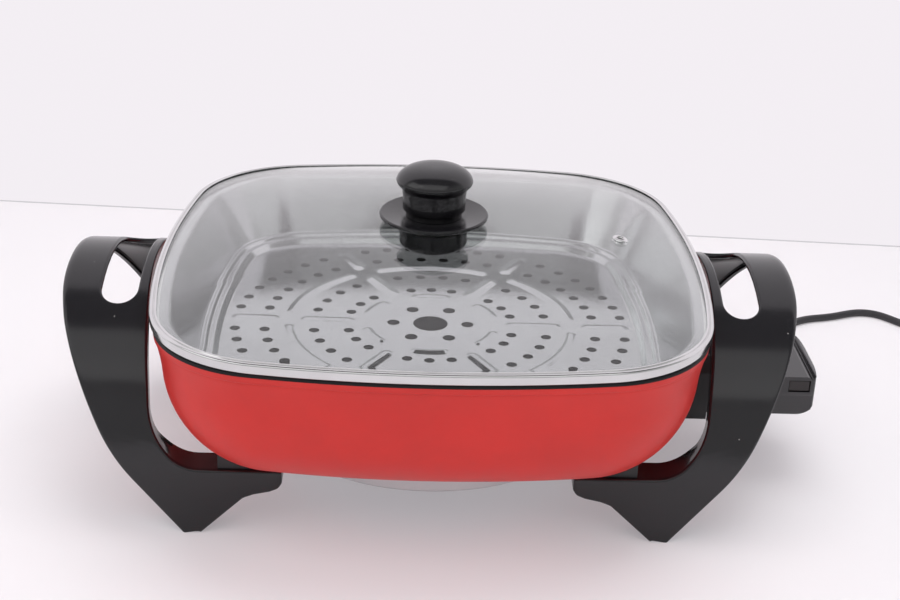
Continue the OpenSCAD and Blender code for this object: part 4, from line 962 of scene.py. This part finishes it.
def dome_rows(shares, drop):
    """Rings of the dome: the lid's outline at the edge, turning into circles
    towards the knob."""
    inset = HALF - GLASS_HALF
    ring = outline(GLASS_HALF, SIDE_R - inset, CORNER_R - inset)
    circle = GLASS_HALF * ring / np.linalg.norm(ring, axis=1)[:, None]
    return [np.column_stack([s * (s * s * ring + (1 - s * s) * circle),
                             np.full(len(ring), dome_z(s) - drop)]) for s in shares]


clear_glass = glass()
SCREW_HOLE_R = 3.6
shares = np.concatenate([[SCREW_HOLE_R / GLASS_HALF], np.linspace(0.09, 0.99, 44)])
rows = dome_rows(shares, GLASS_T) + dome_rows([0.996], GLASS_T - 0.15)
rows += dome_rows([1.0], GLASS_T - 0.9) + dome_rows([1.0], 0.9)
rows += dome_rows([0.996], 0.12) + dome_rows(shares[::-1], 0.0)
lid_glass = skin("lid_glass_dome", from_pan(rows), clear_glass, round_rows=True)
VENT_X = 111.0
vent_s = VENT_X / GLASS_HALF
lean = math.atan((dome_z(vent_s - 0.001) - dome_z(vent_s + 0.001)) / (0.002 * GLASS_HALF))
vent_axes = [(math.cos(lean), 0, -math.sin(lean)), (0, 1, 0), (math.sin(lean), 0, math.cos(lean))]
vent_at = (VENT_X, 0, float(dome_z(vent_s)))
drill = turned("drill", [(0, -9), (3.2, -9), (3.2, 6), (0, 6)], vent_at, clear_glass, 40, vent_axes)
fused(lid_glass, [], [drill])
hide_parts("lid_glass")
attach(lid_glass, "lid")

bright_steel = metal("bright_steel", (0.76, 0.755, 0.76), 0.14, 0.04, 800.0, 0.02)
# The rim's outer line runs up its side, over a bead and a groove, to a second
# bead on the glass. The inner line goes back.
rim_out = rounded([(6, 129, 0), (0, 129, 0.9), (0, 134.3, 1.3), (1.7, 134.9, 0.7),
                   (2.1, 134.2, 0.4), (2.5, 134.2, 0.3), (2.9, 135.0, 0.5), (3.9, 135.0, 0.5),
                   (3.9, 134.6, 0)], 5)
rim_in = rounded([(3.6, 134.55, 0), (0.5, 133.5, 0.7), (0.5, 129.5, 0.5), (6, 129.5, 0)], 5)
rim = skin("lid_rim_band", loft(np.vstack([rim_out, rim_in]), HALF, CORNER_R), bright_steel,
           round_rows=True, crease=45)
eyelet_mm = rounded([(2.1, -3.6, 0), (2.1, 0.5, 1.0), (2.9, 1.35, 1.0), (4.2, 1.1, 0.9),
                     (4.7, 0.3, 0.3), (4.5, 0.25, 0), (3.15, 0.25, 0), (3.15, -3.85, 0),
                     (4.7, -3.85, 0.3), (4.7, -4.4, 0.3), (2.4, -4.5, 0.5),
                     (2.1, -3.6, 0)], 4)[::-1]
eyelet = turned("eyelet", eyelet_mm, vent_at, bright_steel, 48, vent_axes)
for piece, node in ((rim, "lid_rim"), (eyelet, "vent_eyelet")):
    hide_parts(node)
    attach(piece, "lid")

# ---- Knob ----
# A moulded phenolic knob on a thin skirt that keeps fingers off the glass,
# with a boss under the glass. One long screw clamps all three, through two
# silicone gaskets.
knob_plastic = plastic("knob_plastic", (0.007, 0.0066, 0.008), 0.17, 0.06, 1100, dust=0.022,
                       shine=0.66)
KNOB_R, CROWN_Z, BULGE_Z = 22.5, 190.0, 181.2    # it is widest at the bulge
NECK_R, NECK_Z = 18.4, 163.7
SKIRT_Z = 159.2                                  # where the knob stands on its skirt
knob_mm = [(0, SKIRT_Z), (16.2, SKIRT_Z), (16.5, 159.5), (16.5, 162.3), (16.9, 162.9),
           (18.0, 163.2), (NECK_R, NECK_Z)]
knob_mm += [(NECK_R + 0.6 * v * v, NECK_Z + 12.2 * v) for v in (0.35, 0.7, 0.97, 1.0)]
knob_mm += [(KNOB_R - 3 + 3 * math.cos(a), BULGE_Z + 3.6 * math.sin(a))
            for a in np.radians(np.linspace(-62, 0, 9))]
knob_mm += [(KNOB_R * math.cos(a) ** 0.72, BULGE_Z + (CROWN_Z - BULGE_Z) * math.sin(a) ** 1.25)
            for a in np.linspace(0, np.pi / 2, 16)[1:-1]]
knob_mm += [(1.2, CROWN_Z - 0.01), (0, CROWN_Z)]
knob = turned("knob", knob_mm, (0, 0, 0), knob_plastic, 96)
skirt_mm = rounded([(2.8, 155.2, 0), (19, 155.2, 6), (28, 157.0, 20), (31.2, 158.2, 1.5),
                    (32, 159.0, 0.5), (32, 160.3, 0.45), (31.2, 160.8, 0.5), (29.8, 160.6, 2),
                    (20, 159.4, 12), (16.5, 159.25, 0), (2.8, SKIRT_Z, 0), (2.8, 155.2, 0)], 5)
skirt = turned("skirt", skirt_mm, (0, 0, 0), knob_plastic, 96)
boss_mm = rounded([(6, 143, 0), (6, 138.6, 0.3), (14, 138.6, 0), (20, 138.6, 5), (20, 150, 0.6),
                   (2.6, 150, 0), (2.6, 144, 0), (6, 144, 0), (6, 143, 0)], 8)
knob_boss = turned("boss", boss_mm, (0, 0, 0), knob_plastic, 72)
silicone = plastic("silicone", (0.62, 0.61, 0.59), 0.5, 0.1, 900)
for piece, node in ((knob, "lid_knob"), (skirt, "knob_skirt"), (knob_boss, "knob_boss")):
    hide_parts(node)
    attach(piece, "lid")
finish_node("knob_gaskets", silicone)
finish_node("knob_screw", steel)

# ---- Control ----
# A plug-in thermostat housing, moulded in two halves that three screws hold,
# with a smoky window for the neon lamp. Its probe and two sleeves reach into
# the shroud. Inside are a contact block, a frame and two switch blades.
control_plastic = plastic("control_plastic", (0.013, 0.012, 0.0145), 0.20, 0.08, 1100,
                          dust=0.02, shine=0.8)
for node in ("control_base", "control_cover"):
    half_shell = eased(node, node + "_shell", 0.0005, control_plastic, 36, 34)
    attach(half_shell, "control")

smoky = bpy.data.materials.new("smoky_lens")
add = node_maker(smoky)
tinted = add("BsdfPrincipled", Base_Color=(0.035, 0.028, 0.028, 1.0),
             Roughness=0.05, IOR=1.5, Transmission_Weight=0.35)
add("OutputMaterial", Surface=tinted)
bakelite = plastic("bakelite", (0.10, 0.045, 0.025), 0.4, 0.2, 1200)
neon = plastic("neon_glass", (0.55, 0.32, 0.18), 0.12, 0.02, 500)
for node, material in (("control_screws", steel), ("contact_block", bakelite),
                       ("contact_sleeves", brass), ("sensor_rod", bright_steel),
                       ("thermostat_frame", steel), ("switch_blades", brass),
                       ("neon_lamp", neon), ("plug_pins", steel)):
    finish_node(node, material)
lens = eased("lamp_lens", "lens", 0.0009, smoky, 40, 40)
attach(lens, "control")

# ---- Dial ----
# The temperature dial: a fluted phenolic knob with a raised pointer bar, on
# a steel shaft that works the thermostat.
dial = eased("temperature_dial", "dial", 0.0004, knob_plastic, 36, 34)
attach(dial, "dial")
finish_node("dial_shaft", steel)
